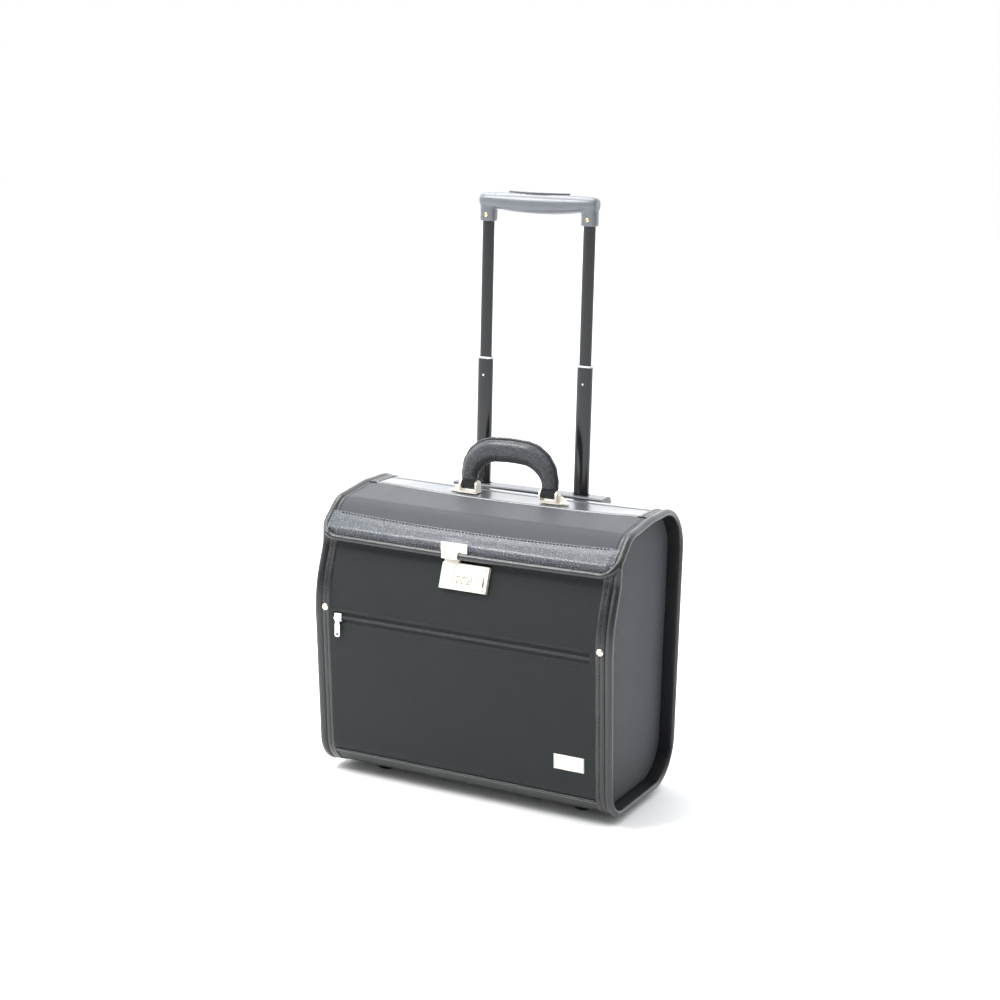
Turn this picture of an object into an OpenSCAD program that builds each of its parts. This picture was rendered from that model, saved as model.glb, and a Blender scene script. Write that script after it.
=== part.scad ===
// Pilot rolling flight case: a stiff covered case with bound rims, a hinged front lid with a
// combination lock, a folding carry handle and a two-stage pull-out trolley handle.
// X runs across the width, -Y is the front, +Z is up, and z = 0 is the floor that it stands on.

/* [Case] */
// Width over the two bound rims
case_w = 460; // [380:1:560]
// Depth from the belly of the front to the back
case_d = 244; // [200:1:300]
// Height of the shell from its underside to its crown
case_h = 407; // [330:1:480]
// Gap between the shell and the floor
ground_gap = 9; // [7:0.5:20]
// Thickness of the covered boards
board_t = 5; // [4:0.5:7]
// How far the boards lie below the crest of the rims
panel_drop = 4; // [3:0.5:5]
// How far the end panels are set in from the rims
end_recess = 21; // [12:1:30]
// Height of the leather band round the underside
band_h = 29; // [20:1:45]

/* [Rims] */
// Thickness of a bound rim, seen from the side
rim_t = 8; // [6:0.5:11]
// Width of a bound rim along X
rim_w = 12; // [8:1:18]

/* [Side outline] */
// How far the lower front leans out towards the belly, in degrees
front_lean = 4.5; // [2:0.5:7]
// How far the upper front leans back above the belly, in degrees
upper_lean = 18.8; // [12:0.2:24]
// Height of the belly below the crown
belly_drop = 138; // [120:1:160]
// Height of the neck, where the front turns upright, below the crown
neck_drop = 74; // [66:1:84]
// Height of the shoulder, where the lid turns back, below the crown
shoulder_drop = 45; // [40:1:50]
// How far the brow of the lid lies behind the shoulder
brow_run = 35; // [28:1:42]
// Height of the brow below the crown
brow_drop = 12; // [9:1:16]
// Radius of the lower front corner
front_corner_r = 50; // [40:1:80]
// Radius of the upper rear corner
rear_top_r = 68; // [50:1:75]
// Radius of the lower rear corner
rear_foot_r = 64; // [50:1:72]

/* [Lid] */
// Distance from the belly back to the hinge line
lid_run = 128; // [120:1:140]
// Height of the leather band's hem below the crown
hem_drop = 67; // [62:1:72]
// Height of the leather band's upper seam below the crown
lid_seam_drop = 28; // [24:1:32]
// Thickness of the leather band
lid_band_t = 4; // [3:0.5:5]
// Radius of the lid's lower corners
lid_corner_r = 24; // [15:1:30]

/* [Trolley] */
// Distance between the centres of the two legs
trolley_pitch = 157.6; // [130:0.2:190]
// Distance from the back to the middle of the legs
trolley_inset = 25; // [22:1:30]
// Width of a lower tube
lower_tube_w = 23; // [20:0.5:26]
// Depth of a lower tube
lower_tube_d = 14; // [12:0.5:16]
// Difference in width between a lower tube and an upper one
tube_step = 5; // [4.5:0.5:8]
// Wall of the tubes
tube_wall = 1.2; // [1:0.1:1.6]
// Reach of the lower tubes above the crown
lower_reach = 178; // [150:1:190]
// Reach of the upper tubes above the lower ones
upper_reach = 197; // [170:1:210]
// Length of a tube that stays inside the next one
tube_overlap = 110; // [90:1:120]
// Width of the socket plate that the legs come out of
socket_w = 238; // [220:1:270]

/* [Trolley grip] */
// Height of the grip, from the ends of its sockets to its crest
grip_h = 42; // [36:1:50]
// Depth of the grip at its middle
grip_d = 28; // [24:1:34]
// Length of the release button
button_len = 96; // [70:1:110]

/* [Carry handle] */
// Width over the legs of the handle
handle_w = 154; // [130:1:180]
// Rise of the handle above the lid
handle_rise = 78; // [65:1:90]
// Distance from the lid's hinge line back to the handle
handle_back = 20.5; // [19:0.5:24]
// Width of a bracket between its two ears
bracket_gap = 23; // [20:0.5:26]
// Radius of the handle's pins
handle_pin_r = 2; // [1.5:0.25:2.5]

/* [Lock] */
// Width of the lock plate
lock_w = 71.5; // [64:0.5:80]
// Height of the lock plate
lock_h = 36.5; // [32:0.5:42]
// Thickness of the lock case
lock_t = 7; // [6:0.5:9]
// Offset of the lock to the right of the middle
lock_x = 3.7; // [-10:0.1:10]
// Distance between two dials
dial_pitch = 8.3; // [7.5:0.1:9]
// Radius of a dial
dial_r = 7; // [6:0.25:7.5]

/* [Pocket] */
// Height of the zip below the crown
zip_drop = 174; // [165:1:185]
// Distance from an end of the zip to the outside of the rim
zip_end_in = 32; // [28:1:45]
// Width of the zip's tape
tape_w = 17; // [14:1:20]

/* [Running gear] */
// Diameter of a wheel
wheel_d = 52; // [48:1:60]
// Width of a wheel
wheel_w = 22; // [18:1:26]
// Radius of a wheel's axle
axle_r = 3; // [2.5:0.25:4]
// Diameter of a front foot
foot_d = 26; // [20:1:34]

/* [Hidden] */
$fn = 48;
// Clearance between parts that move past each other
run_gap = 0.4;
// Gap round a piece that is let into a board
seat_gap = 0.1;
// Radial clearance of a pin or an axle in its bore
pin_gap = 0.05;
// Gap along the lid's joint lines
lid_gap = 1;
// Largest step of an outline's arcs, in degrees
arc_step = 6;
// A length longer than anything here, for cutting shapes
far = 900;

base_z = ground_gap;
top_z = base_z + case_h;
// The zip's puller stands this far out in front of the belly
gear_proud = 1.95;
rear_y = (case_d + gear_proud) / 2;
front_y = rear_y - case_d;
hinge_y = front_y + lid_run;
in_x = case_w / 2 - rim_w;
end_x = case_w / 2 - end_recess;
room_x = end_x - board_t;
skin = panel_drop;
inner = panel_drop + board_t;
band_z = base_z + band_h;
strip_seam_z = top_z - rear_top_r - 4;
lid_side_z = top_z - shoulder_drop - 5;
lid_seam_z = top_z - lid_seam_drop;
hem_z = top_z - hem_drop;

// The side outline: clockwise corners as [y, z, radius], from the lower front corner
belly_r = 180;
belly_shift = belly_r * (cos((upper_lean - front_lean) / 2)
  / cos((upper_lean + front_lean) / 2) - 1);
belly_y = front_y - belly_shift;
belly_z = top_z - belly_drop;
foot_y = belly_y + (belly_z - base_z) * tan(front_lean);
neck_z = top_z - neck_drop;
neck_y = belly_y + (neck_z - belly_z) * tan(upper_lean);
crown_drop = 1.5;
rear_lean_in = 3;
OUTLINE = [
  [foot_y, base_z, front_corner_r],
  [belly_y, belly_z, belly_r],
  [neck_y, neck_z, 30],
  [neck_y, top_z - shoulder_drop, 14],
  [neck_y + brow_run, top_z - brow_drop, 40],
  [hinge_y, top_z - crown_drop, 120],
  [rear_y, top_z, rear_top_r],
  [rear_y - rear_lean_in, base_z, rear_foot_r]];

function unit(v) = v / norm(v);
function inward(u) = [u[1], -u[0]];
function turned(v, a) = [v[0] * cos(a) - v[1] * sin(a), v[0] * sin(a) + v[1] * cos(a)];
function flat2(p) = [p[0], p[1]];

// One rounded corner of the outline, moved inwards by t
function corner_arc(i, t) =
  let (
    n = len(OUTLINE),
    p = flat2(OUTLINE[i]),
    u = unit(p - flat2(OUTLINE[(i + n - 1) % n])),
    v = unit(flat2(OUTLINE[(i + 1) % n]) - p),
    side = u[0] * v[1] - u[1] * v[0] < 0 ? 1 : -1,
    q = p + t * (inward(u) + inward(v)) / (1 + inward(u) * inward(v)),
    r = max(OUTLINE[i][2] - side * t, 0.5),
    turn = acos(u * v),
    start = q - u * r * tan(turn / 2),
    centre = start + inward(u) * r * side,
    steps = max(2, ceil(turn / arc_step))
  )
  [for (k = [0 : steps]) centre + turned(start - centre, -side * turn * k / steps)];

function outline_points(t) = [for (i = [0 : len(OUTLINE) - 1]) each corner_arc(i, t)];

// Y of the front and Z of the top, at inset t
function front_at(z, t) =
  lookup(z, [for (p = outline_points(t)) if (p[0] < 0 && p[1] < top_z - shoulder_drop) [p[1], p[0]]]);
function top_at(y, t) =
  lookup(y, [for (p = outline_points(t)) if (p[1] > top_z - rear_top_r) [p[0], p[1]]]);
// Lean of the front at height z, in degrees; positive leans back
function front_tilt(z) = atan2(front_at(z + 12, 0) - front_at(z - 12, 0), 24);

// Extrudes a side-view shape along X
module slab(x0, x1) {
  translate([x0, 0, 0]) rotate([90, 0, 90]) linear_extrude(x1 - x0) children();
}

module outline(t) {
  polygon(outline_points(t));
}

module ring(t0, t1) {
  difference() {
    outline(t0);
    outline(t1);
  }
}

module window(y0, y1, z0, z1) {
  translate([y0, z0]) square([y1 - y0, z1 - z0]);
}

// Side-view region that belongs to the lid
module lid_zone(gap) {
  window(-far, hinge_y - gap, lid_side_z + gap, far);
}

module both_sides() {
  children();
  mirror([1, 0, 0]) children();
}

// A box with round vertical edges, centred in X and Y
module pillar(w, d, h, r) {
  linear_extrude(h) rounded(w, d, r);
}

module rounded(w, d, corner_r) {
  r = max(corner_r, 0.5);
  square([w - 2 * r, d], center = true);
  square([w, d - 2 * r], center = true);
  for (sx = [-1, 1], sy = [-1, 1])
    translate([sx * (w / 2 - r), sy * (d / 2 - r)]) circle(r);
}

// A cylinder along X, from x0 to x1, at y and z
module rod_x(x0, x1, y, z, r) {
  translate([x0, y, z]) rotate([0, 90, 0]) cylinder(h = x1 - x0, r = r);
}

// Places and sizes of the trolley's tubes. A collar's long sides are thin, so an upper tube's
// depth follows from the lower tube's bore, the collar's wall and the play in it.
collar_wall = 0.2;
collar_play = 0.1;
upper_tube_w = lower_tube_w - tube_step;
upper_tube_d = lower_tube_d - 2 * (tube_wall + collar_wall + collar_play);
trolley_y = rear_y - trolley_inset;
outer_wall = 1.5;
socket_hole_w = lower_tube_w + 2 * run_gap + 2 * outer_wall;
socket_hole_d = lower_tube_d + 2 * run_gap + 2 * outer_wall;
socket_top_z = top_z - 4.5;
outer_top_z = socket_top_z - 8;
trolley_foot_z = base_z + 47;
trolley_foot_h = 12;
lower_top_z = top_z + lower_reach;
upper_top_z = lower_top_z + upper_reach;
lower_len = lower_top_z - outer_top_z + tube_overlap;
upper_len = upper_reach + tube_overlap;
// How far the upper tubes stand in the grip's sockets
grip_sink = 12;
collar_h = 10;
collar_rim_h = 2.5;
collar_bore_w = upper_tube_w + 2 * run_gap;
collar_bore_d = upper_tube_d + 2 * collar_play;

// ---------------------------------------------------------------- wheels and feet

wheel_z = wheel_d / 2;
wheel_y = rear_y - 32;
housing_wall = 3;
side_play = 1;
housing_in = wheel_w / 2 + side_play;
wheel_x = room_x - housing_in - housing_wall;
cavity_r = wheel_d / 2 + 3;
housing_r = cavity_r + housing_wall;

// Side-view area that a wheel housing takes out of the shell
module housing_area(grow) {
  intersection() {
    outline(skin - 0.01);
    translate([wheel_y, wheel_z]) circle(housing_r + grow);
  }
}

module housing_cut(grow) {
  both_sides() slab(wheel_x - housing_in - housing_wall - grow,
    wheel_x + housing_in + housing_wall + grow) {
    translate([wheel_y, wheel_z]) circle(housing_r + grow);
  }
}

module wheel_housing() {
  color("#1b1c1e") {
    difference() {
      union() {
        slab(wheel_x - housing_in - housing_wall, wheel_x + housing_in + housing_wall)
          housing_area(0);
        for (s = [-1, 1])
          rod_x(wheel_x + s * (housing_in + housing_wall / 2) - housing_wall / 2,
            wheel_x + s * (housing_in + housing_wall / 2) + housing_wall / 2,
            wheel_y, wheel_z, 11);
      }
      rod_x(wheel_x - housing_in, wheel_x + housing_in, wheel_y, wheel_z, cavity_r);
      rod_x(wheel_x - 40, wheel_x + 40, wheel_y, wheel_z, axle_r);
    }
  }
}

module axle() {
  color("#b9bcc0")
    rod_x(wheel_x - housing_in - housing_wall, wheel_x + housing_in + housing_wall,
      wheel_y, wheel_z, axle_r);
}

hub_r = wheel_d / 2 - 8;

module wheel() {
  color("#3a3d40") difference() {
    union() {
      rod_x(wheel_x - wheel_w / 2, wheel_x + wheel_w / 2, wheel_y, wheel_z, 7);
      rod_x(wheel_x - wheel_w / 2 + 3, wheel_x + wheel_w / 2 - 3, wheel_y, wheel_z, hub_r);
    }
    rod_x(wheel_x - 40, wheel_x + 40, wheel_y, wheel_z, axle_r + pin_gap);
  }
}

module tyre() {
  edge_r = 4;
  color("#1a1a1a") translate([wheel_x, wheel_y, wheel_z]) rotate([0, 90, 0])
    rotate_extrude() difference() {
      union() {
        translate([hub_r, -wheel_w / 2 + 1]) square([wheel_d / 2 - hub_r - edge_r, wheel_w - 2]);
        translate([hub_r, -wheel_w / 2 + 1 + edge_r])
          square([wheel_d / 2 - hub_r, wheel_w - 2 - 2 * edge_r]);
        for (s = [-1, 1])
          translate([wheel_d / 2 - edge_r, s * (wheel_w / 2 - 1 - edge_r)]) circle(edge_r);
      }
      translate([0, -far]) square([hub_r, 2 * far]);
    }
}

foot_x = case_w / 2 - 72;
foot_inset = 87;
foot_at_y = front_y + foot_inset;
foot_taper = 4;
foot_counterbore_h = 8;
foot_counterbore_r = 4.5;
foot_screw_head_r = 4;
foot_screw_r = 2;

module front_feet() {
  color("#202224") difference() {
    both_sides() translate([foot_x, foot_at_y, 0]) difference() {
      cylinder(h = base_z + 3 * skin, d1 = foot_d, d2 = foot_d + foot_taper);
      translate([0, 0, -1]) cylinder(h = foot_counterbore_h + 1, r = foot_counterbore_r);
      translate([0, 0, -1]) cylinder(h = far, r = foot_screw_r);
    }
    slab(-far, far) outline(skin);
  }
}

module foot_screws() {
  head_h = 3;
  color("#8d9094") both_sides() translate([foot_x, foot_at_y, foot_counterbore_h]) {
    cylinder(h = base_z + inner - foot_counterbore_h, r = foot_screw_r);
    translate([0, 0, -head_h]) cylinder(h = head_h, r = foot_screw_head_r);
  }
}

// ---------------------------------------------------------------- shell

module front_panel() {
  color("#2b2e2d") difference() {
    slab(-in_x, in_x) intersection() {
      ring(skin, inner);
      window(-far, 0, band_z, lid_side_z);
    }
    on_lock() {
      linear_extrude(far) lock_outline();
      linear_extrude(far, center = true) dial_box(seat_gap);
    }
  }
}

module bottom_band() {
  color("#26282a") difference() {
    slab(-in_x, in_x) intersection() {
      ring(skin, inner);
      window(-far, far, 0, band_z);
    }
    housing_cut(seat_gap);
    both_sides() translate([foot_x, foot_at_y, 0]) cylinder(h = 60, r = foot_screw_r + pin_gap);
  }
}

module back_panel() {
  color("#2b2e30") difference() {
    slab(-in_x, in_x) intersection() {
      ring(skin, inner);
      window(0, far, band_z, strip_seam_z);
    }
    housing_cut(seat_gap);
  }
}

module top_strip() {
  color("#303236") difference() {
    slab(-in_x, in_x) intersection() {
      ring(skin, inner);
      window(hinge_y, far, strip_seam_z, far);
    }
    tube_holes(socket_hole_w + 2 * seat_gap, socket_hole_d + 2 * seat_gap, strip_seam_z);
  }
}

module end_panel() {
  color("#3f434a") slab(end_x - board_t, end_x) difference() {
    outline(inner);
    intersection() {
      ring(inner, inner + lid_gap);
      lid_zone(-lid_gap);
    }
  }
}

module rim() {
  color("#1e2023") slab(in_x, case_w / 2) difference() {
    ring(0, rim_t);
    lid_zone(-lid_gap / 2);
  }
}

inner_board_y = rear_y - trolley_inset - socket_hole_d / 2 - 5;
inner_board_t = 3;

module inner_board() {
  color("#3a3c3f") difference() {
    slab(-room_x, room_x) intersection() {
      outline(inner);
      window(inner_board_y, inner_board_y + inner_board_t, base_z, far);
    }
    housing_cut(seat_gap);
  }
}

module base_board() {
  thickness = 3;
  color("#4a4640") difference() {
    slab(-room_x, room_x)
      window(foot_y + front_corner_r, rear_y - rear_lean_in - rear_foot_r, base_z + inner,
        base_z + inner + thickness);
    housing_cut(seat_gap);
  }
}

module mouth_bar() {
  color("#55585c") slab(-room_x, room_x) intersection() {
    ring(inner, inner + 3);
    window(-far, 0, lid_side_z - 24, lid_side_z);
  }
}

// ---------------------------------------------------------------- trolley

module tube_holes(w, d, z) {
  both_sides() translate([trolley_pitch / 2, trolley_y, z]) pillar(w, d, far, 4);
}

// A hollow tube of the right leg: outer size w by d, bore bw by bd, standing on z
module sleeve(w, d, bw, bd, z, h) {
  edge_r = 4;
  translate([trolley_pitch / 2, trolley_y, z]) difference() {
    pillar(w, d, h, edge_r);
    translate([0, 0, -1]) pillar(bw, bd, h + 2, edge_r - (w - bw) / 2);
  }
}

module tube(w, d, z, h, wall) {
  sleeve(w, d, w - 2 * wall, d - 2 * wall, z, h);
}

module outer_tubes() {
  z = trolley_foot_z + trolley_foot_h;
  color("#8b8e92") both_sides()
    tube(socket_hole_w, socket_hole_d, z, outer_top_z - z, outer_wall);
}

module trolley_foot() {
  w = trolley_pitch + socket_hole_w + 8;
  color("#232527") difference() {
    translate([-w / 2, trolley_y - socket_hole_d / 2, trolley_foot_z])
      cube([w, socket_hole_d, trolley_foot_h]);
    both_sides() translate([trolley_pitch / 2, trolley_y, trolley_foot_z - 1])
      cylinder(h = trolley_foot_h + 2, r = 2.5);
  }
}

module socket_plate() {
  front = trolley_y - socket_hole_d / 2 - 9;
  rear = rear_y - skin - 5;
  color("#1d1f22") difference() {
    slab(-socket_w / 2, socket_w / 2) difference() {
      polygon([[front, top_at(front, skin) - 6], [front, socket_top_z - 1.5],
        [front + 1.5, socket_top_z], [rear - 8, socket_top_z], [rear - 2, socket_top_z - 3],
        [rear, socket_top_z - 10], [rear, top_at(rear, skin) - 6]]);
      outline(skin);
    }
    tube_holes(socket_hole_w + 2 * seat_gap, socket_hole_d + 2 * seat_gap, outer_top_z - far);
    tube_holes(lower_tube_w + 2 * run_gap, lower_tube_d + 2 * run_gap, outer_top_z);
  }
}

module lower_tubes() {
  color("#17181a") both_sides() difference() {
    tube(lower_tube_w, lower_tube_d, lower_top_z - lower_len, lower_len, tube_wall);
    translate([trolley_pitch / 2, trolley_y, lower_top_z - collar_h - 14])
      rotate([90, 0, 0]) cylinder(h = lower_tube_d, r = 1.5);
  }
}

// Sleeve in the mouth of each lower tube that guides the upper one
module tube_collars() {
  color("#c9ccd0") both_sides() {
    sleeve(lower_tube_w + 1, lower_tube_d + 1, collar_bore_w, collar_bore_d, lower_top_z,
      collar_rim_h);
    translate([0, 0, lower_top_z - collar_h]) sleeve(lower_tube_w - 2 * tube_wall,
      lower_tube_d - 2 * tube_wall, collar_bore_w, collar_bore_d, 0, collar_h);
  }
}

module tube_pins() {
  color("#c9ccd0") both_sides() translate([trolley_pitch / 2,
    trolley_y - lower_tube_d / 2 + tube_wall, lower_top_z - collar_h - 14])
    rotate([90, 0, 0]) cylinder(h = tube_wall + 0.2, r = 1.5);
}

module upper_tubes() {
  color("#17181a") both_sides()
    tube(upper_tube_w, upper_tube_d, upper_top_z - upper_len, upper_len + grip_sink - 1,
      tube_wall);
}

grip_socket_w = upper_tube_w + 6;
grip_socket_d = upper_tube_d + 6;
grip_bottom_z = upper_top_z - 1;
grip_half = (trolley_pitch + grip_socket_w) / 2;
grip_top_z = grip_bottom_z + grip_h;
grip_screw_z = grip_bottom_z + 9;
grip_screw_r = 3.2;
grip_screw_shank_r = 1.6;
grip_screw_sink = 1.2;
button_w = 16;
button_t = 5;
button_travel = 3.5;

// Front view of the grip: a bar with a bellied underside and two sockets
module grip_front() {
  drop_mid = 29;
  drop_end = 21;
  steps = 12;
  polygon(concat(
    [[-grip_half, -grip_h], [-grip_half, -13], [-grip_half + 1.2, -8], [-grip_half + 4.5, -4],
      [-grip_half + 10, -1.4], [-grip_half + 20, -0.4], [0, 0], [grip_half - 20, -0.4],
      [grip_half - 10, -1.4], [grip_half - 4.5, -4], [grip_half - 1.2, -8], [grip_half, -13],
      [grip_half, -grip_h], [grip_half - grip_socket_w, -grip_h]],
    [for (k = [0 : steps])
      let (u = 1 - 2 * k / steps)
      [u * (grip_half - grip_socket_w), -drop_end - (drop_mid - drop_end) * (1 - u * u)]],
    [[-grip_half + grip_socket_w, -grip_h]]));
}

// Side view of the grip's bar: an upright oval
module grip_side() {
  for (s = [-1, 1])
    translate([0, -grip_d / 2 + s * 3 - 2.5]) circle(grip_d / 2);
}

module lens(w, d) {
  r = (w * w / 4 + d * d / 4) / d;
  intersection() {
    translate([0, r - d / 2]) circle(r, $fn = 120);
    translate([0, d / 2 - r]) circle(r, $fn = 120);
  }
}

module grip() {
  color("#6d7178") difference() {
    intersection() {
      translate([0, trolley_y, grip_top_z]) rotate([90, 0, 0])
        linear_extrude(grip_d + 4, center = true) grip_front();
      union() {
        translate([-grip_half + 4, 0, 0]) slab(0, 2 * grip_half - 8)
          translate([trolley_y, grip_top_z]) grip_side();
        both_sides() translate([trolley_pitch / 2, trolley_y, grip_top_z - grip_h])
          pillar(grip_socket_w, grip_socket_d, grip_h, 4);
      }
    }
    both_sides() translate([trolley_pitch / 2, trolley_y, grip_bottom_z + grip_sink - far])
      pillar(upper_tube_w, upper_tube_d, far, 4);
    translate([0, trolley_y, grip_top_z - button_t - button_travel - 1])
      linear_extrude(far) lens(button_len + 2 * run_gap, button_w + 2 * run_gap);
    both_sides() translate([trolley_pitch / 2, trolley_y, grip_screw_z])
      rotate([90, 0, 0]) cylinder(h = far, r = grip_screw_shank_r);
    both_sides() translate([trolley_pitch / 2, trolley_y - grip_socket_d / 2
      + grip_screw_sink, grip_screw_z]) rotate([90, 0, 0]) cylinder(h = far, r = grip_screw_r);
  }
}

module release_button() {
  color("#5d6168") translate([0, trolley_y, grip_top_z - button_t + 1.5])
    linear_extrude(button_t) lens(button_len, button_w);
}

module grip_screws() {
  color("#c8a96a") both_sides() translate([trolley_pitch / 2,
    trolley_y - grip_socket_d / 2 + grip_screw_sink, grip_screw_z]) rotate([90, 0, 0])
    difference() {
      union() {
        cylinder(h = 1.5, r = grip_screw_r);
        translate([0, 0, -1.7]) cylinder(h = 1.7, r = grip_screw_shank_r);
      }
      translate([0, 0, 0.7]) cylinder(h = 2, r = 1.3, $fn = 6);
    }
}

// ---------------------------------------------------------------- carry handle

handle_y = hinge_y + handle_back;
strip_z = top_at(handle_y, skin);
bracket_t = 2.2;
bracket_d = 16;
bracket_base_t = 3;
leg_x = handle_w / 2 - 14;
pin_z = strip_z + 10;
ear_r = 5.5;
neck_d = 11;
gusset_run = 16;

// Bracket for the right end: a base, two ears with a bore and a brace outside
module handle_bracket() {
  color("#e8e0d0") difference() {
    union() {
      translate([leg_x - bracket_gap / 2 - bracket_t, handle_y - bracket_d / 2, strip_z - 1])
        cube([bracket_gap + 2 * bracket_t, bracket_d, bracket_base_t + 1]);
      for (s = [-1, 1])
        translate([leg_x + s * (bracket_gap / 2 + bracket_t / 2) - bracket_t / 2, 0, 0]) {
          translate([0, handle_y - bracket_d / 2, strip_z])
            cube([bracket_t, bracket_d, pin_z - strip_z]);
          rod_x(0, bracket_t, handle_y, pin_z, bracket_d / 2);
        }
      translate([leg_x + bracket_gap / 2 + bracket_t, handle_y + bracket_t, 0])
        rotate([90, 0, 0]) linear_extrude(2 * bracket_t)
          polygon([[0, strip_z - 1], [gusset_run, strip_z - 1], [gusset_run, strip_z + 1],
            [0, pin_z + 4]]);
      translate([leg_x + bracket_gap / 2 + bracket_t, handle_y, strip_z - 1])
        linear_extrude(2.5) polygon([[0, -bracket_d / 2], [0, bracket_d / 2], [gusset_run, 3],
          [gusset_run, -3]]);
    }
    rod_x(0, far, handle_y, pin_z, handle_pin_r);
    slab(0, far) outline(skin);
  }
}

module handle_pins() {
  color("#d9d4c8") both_sides()
    rod_x(leg_x - bracket_gap / 2 - bracket_t, leg_x + bracket_gap / 2 + bracket_t,
      handle_y, pin_z, handle_pin_r);
}

neck_w = bracket_gap - 2;
neck_top_z = pin_z + 11;

// Moulded end of the handle's core, turning on the pin
module handle_necks() {
  color("#101113") both_sides() difference() {
    union() {
      translate([leg_x - neck_w / 2, handle_y - neck_d / 2, pin_z])
        cube([neck_w, neck_d, neck_top_z - pin_z]);
      rod_x(leg_x - neck_w / 2, leg_x + neck_w / 2, handle_y, pin_z, neck_d / 2);
    }
    rod_x(0, far, handle_y, pin_z, handle_pin_r + pin_gap);
  }
}

handle_top_z = strip_z + handle_rise + 4;
handle_leg_r = 12;
handle_mid_r = 17;
handle_depth_r = 10.5;
handle_bend = 34;
handle_steps = 4;

// Middle line of the handle as [x, z], from the left leg to the right leg
function handle_path() =
  let (
    x = leg_x,
    z0 = neck_top_z,
    z1 = handle_top_z - handle_mid_r,
    steps = 8
  )
  concat(
    [[-x, z0], [-x, (z0 + z1 - handle_bend) / 2]],
    [for (k = [0 : steps]) [-x + handle_bend * (1 - cos(90 * k / steps)),
      z1 - handle_bend * (1 - sin(90 * k / steps))]],
    [[0, z1 + 0.5]],
    [for (k = [steps : -1 : 0]) [x - handle_bend * (1 - cos(90 * k / steps)),
      z1 - handle_bend * (1 - sin(90 * k / steps))]],
    [[x, (z0 + z1 - handle_bend) / 2], [x, z0]]);

// Front view of the arch, pulled in by t all round
module handle_arch(t) {
  path = handle_path();
  n = len(path);
  function heading(i) = i == 0 ? [0, 1] : i == n - 1 ? [0, -1]
    : unit(path[i + 1] - path[i - 1]);
  function half_h(p) = handle_leg_r - t + (handle_mid_r - handle_leg_r)
    * (p[1] - neck_top_z) / (handle_top_z - handle_mid_r - neck_top_z);
  function side(s) = [for (i = [0 : n - 1])
    path[i] + s * half_h(path[i]) * [-heading(i)[1], heading(i)[0]]];
  inside = side(-1);
  polygon(concat(side(1), [for (i = [n - 1 : -1 : 0]) inside[i]]));
}

// The leather-covered arch, stepped in depth to an oval section
module carry_handle() {
  color("#2e3034") translate([0, handle_y, 0]) rotate([90, 0, 0])
    for (k = [1 : handle_steps])
      let (depth = handle_depth_r * cos(90 * (k - 1) / handle_steps))
      linear_extrude(2 * depth, center = true)
        handle_arch(handle_leg_r * (1 - sin(90 * k / handle_steps)) * 0.8);
}

// ---------------------------------------------------------------- lock

lock_low_z = neck_z - 37;
lock_tilt = front_tilt(neck_z - 18);
lock_low_y = front_at(lock_low_z, skin);
dial_x = 1;
dial_s = 14;
dial_w = 5.8;
dial_proud = 0.8;
dial_z = lock_t - dial_r + dial_proud;
dial_axle_r = 1.2;
dial_room_w = 3 * dial_pitch;
dial_room_h = 2 * dial_r + 1;
dial_room_wall = 2.5;
lock_face_t = 1;
column_w = 25;
column_rise = lock_h + 6.5;
slide_w = 19;
slide_low = 7;
slide_t = 2.5;
reset_x = lock_w / 2 - 5.5;
lock_rivet_r = 1.3;

// Places children on the leaning front at the lock's lower middle: X across, Y up the slope,
// Z out of the front
module on_lock() {
  translate([lock_x, lock_low_y, lock_low_z]) rotate([90 - lock_tilt, 0, 0]) children();
}

module lock_outline() {
  translate([-lock_w / 2, 0]) square([lock_w, lock_h]);
  translate([-lock_w / 2 + 1.5, 0]) square([column_w - 1.5, column_rise]);
}

// Outline of the box behind the lock plate that holds the dials
module dial_box(grow) {
  translate([dial_x, dial_s])
    square([dial_room_w + 2 * dial_room_wall + 2 * grow, dial_room_h + 2 * dial_room_wall
      + 2 * grow], center = true);
}

module slide_outline() {
  left = -lock_w / 2;
  polygon([[left, slide_low], [left + slide_w - 0.5, slide_low],
    [left + slide_w, lock_h - 6], [left + column_w - 4, lock_h - 1.5],
    [left + column_w, lock_h + 2], [left + column_w, column_rise - run_gap],
    [left + 2, column_rise - run_gap], [left + 2, lock_h], [left, lock_h - 1.5]]);
}

// Area that the sliding latch needs for its travel to the left
module slide_room() {
  translate([run_gap, 0]) slide_outline();
  translate([-lock_w / 2 - 50, slide_low - run_gap]) square([50 + slide_w + run_gap - 0.5, 80]);
}

module dial_bore(r) {
  translate([dial_x - dial_room_w / 2 - 2, dial_s, dial_z]) rotate([0, 90, 0])
    cylinder(h = dial_room_w + 4, r = r);
}

module lock_case() {
  color("#f1ebdd") on_lock() difference() {
    union() {
      linear_extrude(lock_t) lock_outline();
      translate([0, 0, -board_t]) linear_extrude(board_t + 1) dial_box(0);
    }
    translate([0, 0, lock_t - slide_t - run_gap]) linear_extrude(far) slide_room();
    translate([0, 0, lock_t - slide_t - run_gap]) linear_extrude(far)
      translate([-lock_w / 2, lock_h - 0.01]) square([lock_w, 50]);
    for (k = [-1 : 1])
      translate([dial_x + k * dial_pitch, dial_s, 0])
        linear_extrude(far) square([dial_w + 2 * run_gap, dial_room_h - 5], center = true);
    translate([dial_x, dial_s, -far + lock_t - lock_face_t])
      linear_extrude(far) square([dial_room_w, dial_room_h], center = true);
    dial_bore(dial_axle_r);
    translate([reset_x, dial_s + 1, lock_t - 3]) linear_extrude(far)
      square([2.4, 14], center = true);
    lock_rivet_places() translate([0, 0, -1]) cylinder(h = far, r = lock_rivet_r);
  }
}

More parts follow.
